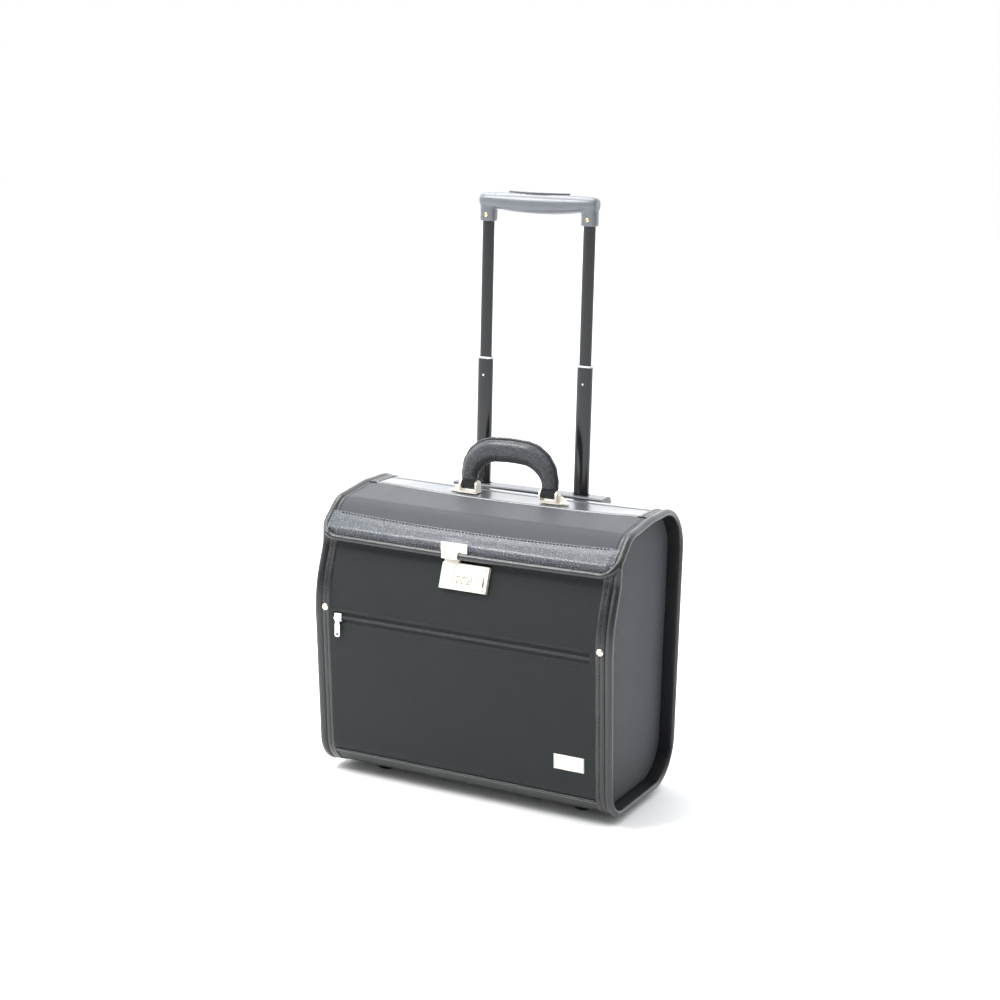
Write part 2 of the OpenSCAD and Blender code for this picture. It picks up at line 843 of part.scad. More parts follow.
module lock_rivet_places() {
  for (p = [[-lock_w / 2 + 5, 3.2], [lock_w / 2 - 4, 3.2], [lock_w / 2 - 4, lock_h - 5]])
    translate([p[0], p[1], 0]) children();
}

module lock_rivets() {
  color("#bfae8f") on_lock() lock_rivet_places()
    cylinder(h = lock_t - 0.3, r = lock_rivet_r);
}

module lock_back_plate() {
  color("#8f9296") on_lock() translate([0, 0, -board_t - 2.5]) linear_extrude(1.5)
    difference() {
      translate([-lock_w / 2 + 2, 1]) square([lock_w - 4, lock_h - 2]);
      dial_box(seat_gap);
    }
}

module latch_slide() {
  color("#f4eee2") on_lock() translate([0, 0, lock_t - slide_t]) linear_extrude(slide_t + 0.4)
    slide_outline();
}

module dial_axle() {
  color("#9a9c9f") on_lock() dial_bore(dial_axle_r);
}

module dial(k) {
  color("#efe9dc") on_lock() translate([dial_x + (k - 2) * dial_pitch - dial_w / 2, dial_s,
    dial_z]) rotate([0, 90, 0]) difference() {
      cylinder(h = dial_w, r = dial_r);
      translate([0, 0, -1]) cylinder(h = far, r = dial_axle_r + pin_gap);
    }
}

module reset_lever() {
  color("#4b3a26") on_lock() translate([reset_x, dial_s - 1, lock_t - 2.9])
    linear_extrude(2.5) square([1.6, 8], center = true);
}

// ---------------------------------------------------------------- lid

hasp_w = 40.5;
hasp_h = 12.5;
hasp_t = 2;
hasp_x = lock_x - lock_w / 2 - 2.5 + hasp_w / 2;
lid_face_y = neck_y - 2.4;
shoulder_z = top_z - shoulder_drop;

module lid_board() {
  color("#33363a") slab(-in_x, in_x) intersection() {
    ring(skin, inner);
    lid_zone(lid_gap / 2);
  }
}

// Side view of the leather band: from its seam on the board down to the hem in front of the case
module lid_band_shape() {
  intersection() {
    ring(skin - 2.5, skin);
    window(-far, 0, shoulder_z, lid_seam_z);
  }
  polygon([[lid_face_y, hem_z], [lid_face_y, shoulder_z - 2], [lid_face_y + 1, shoulder_z],
    [neck_y + 7, shoulder_z + 6], [neck_y + 12, shoulder_z + 6], [neck_y + 12, hem_z]]);
}

// What the leather band keeps clear of: the board above and the front panel or rims below
module behind_band(t) {
  outline(t);
  intersection() {
    outline(t - run_gap);
    window(-far, 0, 0, lid_side_z + lid_gap / 2);
  }
}

module lid_band() {
  h = shoulder_z + 8 - hem_z;
  color("#2c2e33") {
    slab(-in_x + run_gap, in_x - run_gap) difference() {
      lid_band_shape();
      behind_band(skin);
    }
    intersection() {
      both_sides() slab(in_x - run_gap, case_w / 2 - 2) difference() {
        lid_band_shape();
        behind_band(0);
      }
      translate([0, 0, hem_z]) rotate([90, 0, 0]) linear_extrude(far, center = true)
        band_front(case_w - 4, h);
    }
  }
}

// Front view of the band, with round lower corners
module band_front(w, h) {
  translate([-w / 2 + lid_corner_r, 0]) square([w - 2 * lid_corner_r, h]);
  for (s = [-1, 1]) translate([s * (w / 2 - lid_corner_r), lid_corner_r]) {
    circle(lid_corner_r);
    translate([-lid_corner_r, 0]) square([2 * lid_corner_r, h - lid_corner_r]);
  }
}

module lid_rim() {
  color("#1e2023") slab(in_x, case_w / 2) intersection() {
    ring(0, rim_t);
    lid_zone(lid_gap / 2);
  }
}

hasp_top_z = hem_z + 20.5;

module hasp_plate() {
  color("#f1ebdd") difference() {
    union() {
      translate([hasp_x - hasp_w / 2, lid_face_y - hasp_t, hasp_top_z - hasp_h])
        cube([hasp_w, hasp_t, hasp_h]);
      translate([lock_x - lock_w / 2 + 1.5, lid_face_y - hasp_t, hem_z - 0.5])
        cube([column_w - 1, hasp_t, hasp_top_z - hasp_h - hem_z + 1]);
    }
    hasp_rivet_places() cylinder(h = far, r = 1.3, center = true);
  }
}

module hasp_rivet_places() {
  for (s = [-1, 1])
    translate([hasp_x + s * (hasp_w / 2 - 5), lid_face_y - hasp_t, hasp_top_z - 7])
      rotate([90, 0, 0]) children();
}

module hasp_rivets() {
  color("#bfae8f") hasp_rivet_places() translate([0, 0, -hasp_t])
    cylinder(h = hasp_t - 0.2, r = 1.3);
}

// ---------------------------------------------------------------- pocket zip

zip_z = top_z - zip_drop;
zip_x = case_w / 2 - zip_end_in;
tape_t = 0.8;
teeth_w = 5;
teeth_t = 1.6;
slider_w = 11;
slider_len = 11;
slider_wall = 1.4;
slider_x = -zip_x + slider_len / 2 + 2;
puller_w = 8;
puller_len = 28;
puller_t = 1.4;

module zip_tape() {
  color("#1c1e1f") slab(-zip_x - 6, zip_x + 6) intersection() {
    ring(skin - tape_t, skin);
    window(-far, 0, zip_z - tape_w / 2, zip_z + tape_w / 2);
  }
}

module zip_teeth() {
  color("#0f1011") slab(-zip_x, zip_x) intersection() {
    ring(skin - tape_t - teeth_t, skin - tape_t);
    window(-far, 0, zip_z - teeth_w / 2, zip_z + teeth_w / 2);
  }
}

zip_face_y = front_at(zip_z, skin - tape_t);
slider_front_y = zip_face_y - teeth_t - run_gap * 1.5 - slider_wall;
loop_r = 1.7;
hook_y = slider_front_y - 0.9;
hook_z = zip_z - 1;
puller_pin_r = 0.8;

// Body that straddles the teeth, with two ears on its front for the puller
module zip_slider() {
  color("#d9dadb") difference() {
    union() {
      translate([slider_x - slider_len / 2, slider_front_y, zip_z - slider_w / 2])
        cube([slider_len, zip_face_y - run_gap - slider_front_y, slider_w]);
      for (s = [-1, 1])
        rod_x(slider_x + s * 4.4 - 0.9, slider_x + s * 4.4 + 0.9, hook_y, hook_z, loop_r);
    }
    translate([slider_x - far, slider_front_y + slider_wall, zip_z - teeth_w / 2 - 2 * run_gap])
      cube([2 * far, 20, teeth_w + 4 * run_gap]);
    rod_x(slider_x - 10, slider_x + 10, hook_y, hook_z, puller_pin_r + pin_gap);
  }
}

// Tag that hangs from the slider's ears by a pin
module zip_puller() {
  color("#dfe0e1") difference() {
    union() {
      rod_x(slider_x - 5.3, slider_x + 5.3, hook_y, hook_z, puller_pin_r);
      translate([slider_x - 3.2, hook_y - puller_t / 2, hook_z - 9])
        cube([6.4, puller_t, 9]);
      translate([slider_x, hook_y + puller_t / 2, hook_z - 7 - (puller_len - 8) / 2])
        rotate([90, 0, 0]) linear_extrude(puller_t) rounded(puller_w, puller_len - 8, 2.5);
    }
    translate([slider_x, 0, hook_z - puller_len + 5]) rotate([90, 0, 0])
      cylinder(h = far, r = 2);
  }
}

rivet_z = zip_z + 11.7;
rivet_x = case_w / 2 - 17.5;

module pocket_rivets() {
  color("#efe6d8") both_sides() translate([rivet_x, front_at(rivet_z, skin), rivet_z])
    rotate([90 - front_tilt(rivet_z), 0, 0]) translate([0, 0, 0.15]) {
      cylinder(h = 1.2, r = 4.8);
      intersection() {
        translate([0, 0, -6.2]) sphere(8.4);
        translate([0, 0, 1]) cylinder(h = 3, r = 4.2);
      }
    }
}

label_w = 45;
label_h = 21.5;
label_t = 1.2;
// Height of the label above the base of the shell
label_rise = 79.5;
label_z = base_z + label_rise;
label_x = case_w / 2 - 62.5;

// Thin plate that follows the curve of the front
module label_plate() {
  color("#d8d8d6") intersection() {
    slab(label_x - label_w / 2, label_x + label_w / 2) ring(skin - label_t, skin);
    translate([label_x, 0, label_z]) rotate([90, 0, 0]) linear_extrude(far)
      rounded(label_w, label_h, 1.5);
  }
}

// ---------------------------------------------------------------- nodes

front_panel();
bottom_band();
back_panel();
top_strip();
mirror([1, 0, 0]) end_panel();  // end_panel_left
end_panel();  // end_panel_right
mirror([1, 0, 0]) rim();  // rim_left
rim();  // rim_right
inner_board();
base_board();
mouth_bar();
socket_plate();
outer_tubes();
trolley_foot();
mirror([1, 0, 0]) wheel_housing();  // wheel_housing_left
wheel_housing();  // wheel_housing_right
mirror([1, 0, 0]) axle();  // axle_left
axle();  // axle_right
mirror([1, 0, 0]) wheel();  // wheel_left
wheel();  // wheel_right
mirror([1, 0, 0]) tyre();  // tyre_left
tyre();  // tyre_right
front_feet();
foot_screws();
mirror([1, 0, 0]) handle_bracket();  // handle_bracket_left
handle_bracket();  // handle_bracket_right
handle_pins();
handle_necks();
carry_handle();
lock_case();
lock_back_plate();
latch_slide();
dial_axle();
dial(1);  // dial_1
dial(2);  // dial_2
dial(3);  // dial_3
reset_lever();
lock_rivets();
hasp_plate();
hasp_rivets();
lid_board();
lid_band();
mirror([1, 0, 0]) lid_rim();  // lid_rim_left
lid_rim();  // lid_rim_right
zip_tape();
zip_teeth();
zip_slider();
zip_puller();
pocket_rivets();
label_plate();
lower_tubes();
tube_collars();
tube_pins();
upper_tubes();
grip();
release_button();
grip_screws();
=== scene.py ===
# %% [markdown]
# # A pilot's rolling flight case
# This is a stiff case: boards covered in nylon cloth and grained leather, bound at both sides
# with a leather rim. A lid folds back over the front, a lock holds it, and a two-stage trolley
# pulls out of the back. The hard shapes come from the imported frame, which says where each
# piece is. The cloth, leather and stitching are made here, over the same boards.

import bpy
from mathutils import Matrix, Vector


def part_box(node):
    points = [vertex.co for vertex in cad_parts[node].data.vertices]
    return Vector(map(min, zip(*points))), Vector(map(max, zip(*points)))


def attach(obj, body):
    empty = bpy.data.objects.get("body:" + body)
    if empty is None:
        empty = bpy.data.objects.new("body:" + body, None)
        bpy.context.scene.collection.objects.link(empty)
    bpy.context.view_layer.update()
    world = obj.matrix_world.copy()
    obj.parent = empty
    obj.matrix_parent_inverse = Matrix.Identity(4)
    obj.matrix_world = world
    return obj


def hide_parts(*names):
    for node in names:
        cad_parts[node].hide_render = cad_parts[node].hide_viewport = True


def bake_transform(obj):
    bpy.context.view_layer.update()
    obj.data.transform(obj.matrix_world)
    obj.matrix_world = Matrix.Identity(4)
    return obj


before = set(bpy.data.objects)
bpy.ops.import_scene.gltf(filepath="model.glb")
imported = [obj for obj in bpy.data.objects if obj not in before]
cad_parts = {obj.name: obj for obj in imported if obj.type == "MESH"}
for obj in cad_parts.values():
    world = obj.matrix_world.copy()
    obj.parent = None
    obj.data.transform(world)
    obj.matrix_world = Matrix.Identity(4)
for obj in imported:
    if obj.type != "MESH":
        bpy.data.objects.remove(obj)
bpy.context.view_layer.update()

import bisect
import math

import bmesh
import bpy
from mathutils import Matrix, Vector, noise

MM = 0.001

# %% [markdown]
# ## The camera and the light
# The case stands on a pale floor in a white studio. A long lens a good way off keeps the
# upright lines nearly parallel. The light is mostly the room itself, with three soft lamps:
# one above, a weaker one on the left, and one high in front.

# %% Camera
CAMERA_AT = Vector((1.16434, -2.27584, 0.96273))
CAMERA_BACK = Vector((0.44538, -0.87017, 0.21078))
CAMERA_RIGHT = Vector((0.88769, 0.45987, 0.02276))
FOCAL_SHARE = 1.8713

scene = bpy.context.scene
lens = bpy.data.cameras.new("studio_camera")
lens.sensor_width = 36
lens.lens = FOCAL_SHARE * lens.sensor_width
lens.clip_start, lens.clip_end = 0.05, 50
camera = bpy.data.objects.new("studio_camera", lens)
scene.collection.objects.link(camera)
back = CAMERA_BACK.normalized()
right = (CAMERA_RIGHT - back * CAMERA_RIGHT.dot(back)).normalized()
turned = Matrix((right, back.cross(right), back)).transposed()
camera.matrix_world = Matrix.Translation(CAMERA_AT) @ turned.to_4x4()
scene.camera = camera
scene.view_settings.view_transform = "Standard"
print("lens", round(lens.lens, 2), "mm")

# %% Node helper
def add(tree, kind, inputs=None, **settings):
    """Adds a node: settings are its properties, inputs are links or values by socket."""
    made = tree.nodes.new(kind)
    for key, value in settings.items():
        setattr(made, key, value)
    for key, value in (inputs or {}).items():
        if isinstance(value, bpy.types.NodeSocket):
            tree.links.new(value, made.inputs[key])
        else:
            made.inputs[key].default_value = value
    return made


# %% Studio room and lamps
# The room is brightest behind, above and to the left, and dim on the camera's side, so
# upright faces stay dark and everything that faces the back wall shines. The backdrop itself
# is plain white.
BRIGHT_WAY = Vector((-0.45, 0.72, 0.53)).normalized()
world = bpy.data.worlds.new("white_room")
world.use_nodes = True
tree = world.node_tree
room = tree.nodes["Background"]
way = add(tree, "ShaderNodeTexCoord").outputs["Generated"]
facing = add(tree, "ShaderNodeVectorMath", {0: way, 1: BRIGHT_WAY}, operation="DOT_PRODUCT")
level = add(tree, "ShaderNodeMapRange", {0: facing.outputs[1], 1: -0.55, 2: 0.85, 3: 0.42,
                                         4: 2.3}, interpolation_type="SMOOTHSTEP")
tree.links.new(level.outputs[0], room.inputs["Strength"])
room.inputs["Color"].default_value = (0.97, 0.985, 1.0, 1)
backdrop = add(tree, "ShaderNodeBackground", {"Color": (1, 1, 1, 1), "Strength": 1.0})
seen = add(tree, "ShaderNodeLightPath").outputs["Is Camera Ray"]
either = add(tree, "ShaderNodeMixShader", {0: seen, 1: room.outputs[0], 2: backdrop.outputs[0]})
tree.links.new(either.outputs[0], tree.nodes["World Output"].inputs["Surface"])
scene.world = world


def lamp(name, at, aim, size, power):
    """A soft square lamp at one point, aimed at another."""
    light = bpy.data.lights.new(name, "AREA")
    light.size, light.energy = size, power
    holder = bpy.data.objects.new(name, light)
    holder.location = at
    holder.rotation_euler = (Vector(aim) - Vector(at)).to_track_quat("-Z", "Y").to_euler()
    scene.collection.objects.link(holder)


lamp("top_softbox", (-0.6, 0.1, 2.4), (0, 0, 0.3), 1.2, 38)
lamp("left_softbox", (-2.4, -0.8, 1.5), (0, 0, 0.3), 1.0, 16)
lamp("front_high_softbox", (-0.8, -1.1, 1.75), (0, 0, 0.35), 0.7, 34)

# %% [markdown]
# ## Small helpers
# One turns an sRGB hex value into the linear colour that the shaders work in. The others make
# finished pieces out of points, or out of an object and its modifiers.

# %% Mesh helpers
def srgb(code):
    """Linear colour, with alpha, of an sRGB hex value."""
    parts = [int(code[i:i + 2], 16) / 255 for i in (1, 3, 5)]
    return [c / 12.92 if c <= 0.04045 else ((c + 0.055) / 1.055) ** 2.4 for c in parts] + [1]


def piece(name, verts, faces, material, uv=None, smooth_angle=40):
    """A mesh object at the origin, smooth across edges flatter than smooth_angle."""
    mesh = bpy.data.meshes.new(name)
    mesh.from_pydata([tuple(v) for v in verts], [], faces)
    if uv is not None:
        layer = mesh.uv_layers.new(name="cloth")
        for loop in mesh.loops:
            layer.data[loop.index].uv = uv[loop.vertex_index]
    mesh.materials.append(material)
    mesh.shade_smooth()
    mesh.set_sharp_from_angle(angle=math.radians(smooth_angle))
    made = bpy.data.objects.new(name, mesh)
    scene.collection.objects.link(made)
    return made


def ring_faces(rings, sides, looped=False):
    """Faces that join rings of points in order, looped round or capped at both ends."""
    faces = []
    for i in range(rings if looped else rings - 1):
        following = (i + 1) % rings * sides
        for k in range(sides):
            j = (k + 1) % sides
            faces.append((i * sides + k, i * sides + j, following + j, following + k))
    if not looped:
        last = (rings - 1) * sides
        faces += [tuple(range(sides))[::-1], tuple(range(last, last + sides))]
    return faces


def wall_faces(rows, across):
    """Faces of two grids of points, the outer before the inner, closed along their edges."""
    skip, last, faces = rows * across, across - 1, []
    for i in range(rows - 1):
        for j in range(last):
            a = i * across + j
            faces += [(a, a + 1, a + across + 1, a + across),
                      (skip + a, skip + a + across, skip + a + across + 1, skip + a + 1)]
    for j in range(last):
        top = (rows - 1) * across + j
        faces += [(j, skip + j, skip + j + 1, j + 1),
                  (top, top + 1, skip + top + 1, skip + top)]
    for i in range(rows - 1):
        a, b = i * across, (i + 1) * across
        faces += [(a, b, skip + b, skip + a),
                  (a + last, skip + a + last, skip + b + last, b + last)]
    return faces


def flipped(faces):
    """The same faces seen from their other side; four-sided ones keep their first corner."""
    return [(face[0],) + face[:0:-1] if len(face) == 4 else face[::-1] for face in faces]


def swung(arm, angle):
    """A flat vector turned by an angle."""
    c, s = math.cos(angle), math.sin(angle)
    return Vector((arm.x * c - arm.y * s, arm.x * s + arm.y * c))


def running(points):
    """The length along a line of points, at each of them."""
    lengths = [0.0]
    for a, b in zip(points, points[1:]):
        lengths.append(lengths[-1] + (b - a).length)
    return lengths


def hump(distance, width):
    """1 at no distance, falling off smoothly on both sides over a width."""
    return math.exp(-((distance / width) ** 2))


def swelled(value, power):
    """A cosine or sine pushed outward, so that an oval's sides flatten."""
    return math.copysign(abs(value) ** (2 / power), value)


def tube(name, path, material, sides=14):
    """A closed tube along points given as (place, radius), capped flat at both ends."""
    places = [Vector(p) for p, r in path]
    verts, up = [], None
    for i, (place, (_, radius)) in enumerate(zip(places, path)):
        way = (places[min(i + 1, len(places) - 1)] - places[max(i - 1, 0)]).normalized()
        if up is None:
            up = way.orthogonal().normalized()
        up = (up - way * up.dot(way)).normalized()
        across = way.cross(up)
        for k in range(sides):
            a = 2 * math.pi * k / sides
            verts.append(place + (up * math.cos(a) + across * math.sin(a)) * radius)
    return piece(name, verts, ring_faces(len(places), sides), material)


def facing_out(made):
    """Turns every face of a closed piece outward."""
    volume = bmesh.new()
    volume.from_mesh(made.data)
    bmesh.ops.recalc_face_normals(volume, faces=volume.faces)
    volume.to_mesh(made.data)
    volume.free()
    return made


def baked(source, name, material=None):
    """A plain mesh object from an object and its modifiers; the source is removed."""
    depsgraph = bpy.context.evaluated_depsgraph_get()
    mesh = bpy.data.meshes.new_from_object(source.evaluated_get(depsgraph))
    made = bpy.data.objects.new(name, mesh)
    scene.collection.objects.link(made)
    if material is not None:
        mesh.materials.clear()
        mesh.materials.append(material)
    bpy.data.objects.remove(source)
    return made


def on_case(made, body, slot, *nodes):
    """Attaches a finished piece to the body it rides on and hides the CAD nodes that it stands
    for; slot is not used.
    """
    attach(made, body)
    if nodes:
        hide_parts(*nodes)
    print(made.name, "rides on", body)
    return made


# %% [markdown]
# ## Finishes
# Each finish starts from the real stuff: its colour, how rough it is, and the pattern that
# its making left. Patterns are sized in real millimetres. Cloth follows its own UV map, which
# runs in metres across the case and along its outline, so threads turn with the surface.

# %% Base for every finish
def finish(name, base, roughness, metallic=0.0, coat=0.0, coat_roughness=0.1, sheen=0.0,
           ior=1.5, specular=0.5):
    """A material with one Principled shader; constants sit on the shader's own sockets."""
    made = bpy.data.materials.new(name)
    made.use_nodes = True
    tree = made.node_tree
    shader = tree.nodes["Principled BSDF"]
    for key, value in {"Base Color": srgb(base), "Roughness": roughness, "Metallic": metallic,
                       "Coat Weight": coat, "Coat Roughness": coat_roughness,
                       "Sheen Weight": sheen, "IOR": ior,
                       "Specular IOR Level": specular}.items():
        shader.inputs[key].default_value = value
    return made, tree, shader


def tinted(tree, shader, factor, dark, light):
    """Runs the base colour from dark to light by a factor."""
    mix = add(tree, "ShaderNodeMix", {0: factor, 6: srgb(dark), 7: srgb(light)},
              data_type="RGBA")
    tree.links.new(mix.outputs[2], shader.inputs["Base Color"])


def roughened(tree, shader, factor, low, high):
    """Runs the roughness from low to high by a factor."""
    run = add(tree, "ShaderNodeMapRange", {0: factor, 3: low, 4: high})
    tree.links.new(run.outputs[0], shader.inputs["Roughness"])


def bumped(tree, shader, height, depth_mm, strength=1.0):
    """Raises the surface by a height pattern that is depth_mm deep."""
    bump = add(tree, "ShaderNodeBump",
               {"Height": height, "Distance": depth_mm * MM, "Strength": strength})
    tree.links.new(bump.outputs[0], shader.inputs["Normal"])


def object_place(tree):
    """The place in the piece's own axes, for patterns that are not laid on cloth."""
    return add(tree, "ShaderNodeTexCoord").outputs["Object"]


def cloudy(tree, place, size_mm, detail=3.0):
    """Soft mottling with blots of a given size."""
    return add(tree, "ShaderNodeTexNoise",
               {"Vector": place, "Scale": 1 / (size_mm * MM), "Detail": detail}).outputs[0]


# %% Woven nylon
WAVE_PERIOD = 0.314   # metres between two crests of a wave texture at scale 1


def woven(name, dark, light, thread_mm, roughness, sheen, weave_depth_mm=0.12):
    """Ballistic nylon: a plain weave of flat, slightly shiny threads, matt from afar."""
    made, tree, shader = finish(name, light, roughness, sheen=sheen, ior=1.53, specular=0.2)
    place = add(tree, "ShaderNodeUVMap", uv_map="cloth").outputs[0]
    waves = [add(tree, "ShaderNodeTexWave",
                 {"Vector": place, "Scale": WAVE_PERIOD / (thread_mm * MM), "Distortion": 0.4,
                  "Detail": 1.0, "Detail Scale": 1.5},
                 bands_direction=axis).outputs[1] for axis in ("X", "Y")]
    weave = add(tree, "ShaderNodeMath", {0: waves[0], 1: waves[1]}, operation="MULTIPLY")
    blots = cloudy(tree, place, 30)
    slubs = cloudy(tree, place, 2.5, 1.0)
    both = add(tree, "ShaderNodeMath", {0: blots, 1: slubs}, operation="MULTIPLY")
    shade = add(tree, "ShaderNodeMath", {0: both.outputs[0], 1: 0.5, 2: weave.outputs[0]},
                operation="MULTIPLY_ADD")
    tinted(tree, shader, shade.outputs[0], dark, light)
    roughened(tree, shader, blots, roughness - 0.08, roughness + 0.08)
    bumped(tree, shader, weave.outputs[0], weave_depth_mm)
    return made


# The threads are drawn 1.3 mm apart, about twice the real spacing, so that they show.
front_nylon = woven("front_ballistic_nylon", "#0b0e0f", "#2b3031", 1.3, 0.66, 0.06)
side_nylon = woven("side_nylon_twill", "#191c21", "#363b43", 1.0, 0.6, 0.1)
lid_nylon = woven("lid_nylon_cloth", "#1b1d21", "#43474d", 1.1, 0.5, 0.2)
lining = woven("plain_lining_cloth", "#2a2b2d", "#45464a", 0.9, 0.8, 0.2)
zip_tape_weave = woven("zip_tape_herringbone", "#060708", "#121415", 0.8, 0.7, 0.15)
print("cloths ready")

# %% Grained leather
def leather(name, dark, light, grain_mm, roughness, depth_mm, coat=0.15):
    """Embossed leather: rounded pebbles with darker valleys under a satin topcoat."""
    made, tree, shader = finish(name, light, roughness, coat=coat, coat_roughness=0.22,
                                ior=1.5, specular=0.5)
    place = object_place(tree)
    warp = add(tree, "ShaderNodeTexNoise",
               {"Vector": place, "Scale": 0.4 / (grain_mm * MM), "Detail": 2.0})
    shift = add(tree, "ShaderNodeVectorMath",
                {0: warp.outputs[1], "Scale": grain_mm * MM}, operation="SCALE")
    bent = add(tree, "ShaderNodeVectorMath", {0: place, 1: shift.outputs[0]}, operation="ADD")
    cells = add(tree, "ShaderNodeTexVoronoi",
                {"Vector": bent.outputs[0], "Scale": 1 / (grain_mm * MM)},
                feature="DISTANCE_TO_EDGE")
    pebble = add(tree, "ShaderNodeMapRange", {0: cells.outputs[0], 1: 0.0, 2: 0.35},
                 interpolation_type="SMOOTHSTEP")
    blots = cloudy(tree, place, 25)
    tinted(tree, shader, pebble.outputs[0], dark, light)
    roughened(tree, shader, blots, roughness - 0.07, roughness + 0.1)
    bumped(tree, shader, pebble.outputs[0], depth_mm)
    return made


# Pebbles are drawn 3 mm wide on the band and 2.4 mm on the handle, larger than life, so that
# they show.
band_leather = leather("pebbled_leather_band", "#26292e", "#5d626b", 3.0, 0.4, 0.8, 0.4)
rim_leather = leather("smooth_leather_binding", "#07080a", "#101215", 1.9, 0.34, 0.12, 0.3)
strip_leather = leather("smooth_leather_strip", "#36393e", "#50545a", 1.8, 0.3, 0.08, 0.8)
base_leather = leather("smooth_leather_base", "#141617", "#232626", 1.8, 0.45, 0.1, 0.1)
handle_leather = leather("padded_leather_handle", "#15181b", "#3b4047", 2.4, 0.36, 0.6, 0.3)
print("leathers ready")

# %% Threads, metals and mouldings
def moulding(name, tint, roughness, grain_mm, depth_mm, coat=0.0, spread=None):
    """Moulded plastic: the fine spark-eroded texture of its tool."""
    made, tree, shader = finish(name, tint, roughness, coat=coat, coat_roughness=0.2,
                                ior=1.49)
    place = object_place(tree)
    grain = cloudy(tree, place, grain_mm, 2.0)
    blots = cloudy(tree, place, 18)
    tinted(tree, shader, blots, spread or tint, tint)
    roughened(tree, shader, grain, roughness - 0.08, roughness + 0.08)
    bumped(tree, shader, grain, depth_mm)
    return made


def plated(name, tint, shadow, roughness, scratch_mm=6.0, metallic=1.0):
    """Polished and plated metal: bright, with faint rubbing along X."""
    made, tree, shader = finish(name, tint, roughness, metallic=metallic)
    place = object_place(tree)
    long_way = add(tree, "ShaderNodeMapping",
                   {"Vector": place, "Scale": (0.08, 1.0, 1.0)}, vector_type="POINT")
    rub = cloudy(tree, long_way.outputs[0], 0.5, 2.0)
    blots = cloudy(tree, place, scratch_mm)
    tinted(tree, shader, blots, shadow, tint)
    roughened(tree, shader, rub, roughness - 0.06, roughness + 0.1)
    bumped(tree, shader, rub, 0.01)
    return made


# Pale thread, sewn only on the bottom band's seam: its pale colour is a painted highlight that
# stands in for the shine along the seam cord.
thread = moulding("pale_thread_painted_seam_highlight", "#a4a8ac", 0.45, 0.5, 0.05)
dark_thread = moulding("black_waxed_thread", "#0c0d0e", 0.35, 0.5, 0.05)
nickel = plated("warm_nickel_plate", "#faf5ea", "#ece4d4", 0.3, 6.0, 0.5)
rivet_metal = plated("rivet_nickel", "#cfc2aa", "#a99a80", 0.32)
steel = plated("bright_steel", "#b9babc", "#98999b", 0.35)
snap_metal = plated("cream_snap_nickel", "#f3ead9", "#d9cdb8", 0.38)
zip_metal = plated("plated_zinc", "#f2f1ee", "#d6d5d2", 0.26, 6.0, 0.6)
gold = plated("brass_screw", "#dccaa0", "#b99f70", 0.28)
dial_metal = plated("satin_dial_metal", "#efe8da", "#d8cfbc", 0.36)
black_plastic = moulding("black_abs", "#17181a", 0.5, 0.8, 0.05)
grip_plastic = moulding("grey_abs_grip", "#5f6268", 0.36, 0.9, 0.04, 0.3, "#565a60")
button_plastic = moulding("grey_abs_button", "#45484d", 0.36, 0.9, 0.04, 0.3)
socket_plastic = moulding("graphite_abs_socket", "#46494e", 0.4, 0.8, 0.05, 0.3)
collar_plastic = moulding("pale_nylon_collar", "#c9cbce", 0.4, 0.9, 0.03)
wheel_plastic = moulding("charcoal_nylon_hub", "#34373b", 0.5, 0.8, 0.05)
tyre_rubber = moulding("black_rubber", "#141414", 0.75, 0.7, 0.1)
zip_plastic = moulding("zip_coil_nylon", "#43474c", 0.28, 0.8, 0.03, 0.3)
label_plastic = moulding("satin_label_plastic", "#c8c6c0", 0.35, 1.0, 0.02, 0.2)
# The lever's brown is painted shade: the colour of the shade in its slot, given to the lever
# itself.
lever_plastic = moulding("lever_plastic_painted_slot_shade", "#6b4c2c", 0.4, 0.8, 0.03)
numeral_paint = moulding("numeral_enamel", "#5a4634", 0.4, 0.5, 0.01)
print("hard finishes ready")

# %% Anodised tube
tube_metal, tree, shader = finish("black_anodised_aluminium", "#0c0d0f", 0.26, metallic=0.0,
                                  coat=0.3, coat_roughness=0.12, ior=1.5)
drawn = add(tree, "ShaderNodeMapping",
            {"Vector": object_place(tree), "Scale": (1.0, 1.0, 0.02)}, vector_type="POINT")
draw_lines = cloudy(tree, drawn.outputs[0], 0.6, 2.0)
tinted(tree, shader, draw_lines, "#090a0b", "#15171a")
roughened(tree, shader, draw_lines, 0.16, 0.3)
bumped(tree, shader, draw_lines, 0.004)
print("tube finish ready")

# %% Studio floor
floor_mesh = bpy.data.meshes.new("studio_floor")
FLOOR = 12
floor_mesh.from_pydata([(-FLOOR, -FLOOR, 0), (FLOOR, -FLOOR, 0), (FLOOR, FLOOR, 0),
                        (-FLOOR, FLOOR, 0)], [], [(0, 1, 2, 3)])
floor = bpy.data.objects.new("studio_floor", floor_mesh)
scene.collection.objects.link(floor)
floor_paint, tree, shader = finish("white_studio_paint", "#f7f7f7", 0.9)
tinted(tree, shader, cloudy(tree, object_place(tree), 400), "#f3f3f3", "#f9f9f9")
floor_mesh.materials.append(floor_paint)

# %% [markdown]
# ## The side outline
# Every board of the case follows one outline seen from the side: a belly that swells
# forwards, a neck under the lid, a sloping brow, a flat top and round corners. Here it is
# one closed path with its length measured along it, so each cloth is laid from one place on
# the path to another, a chosen height above the boards.

# %% Outline path
CASE_H = 407 * MM


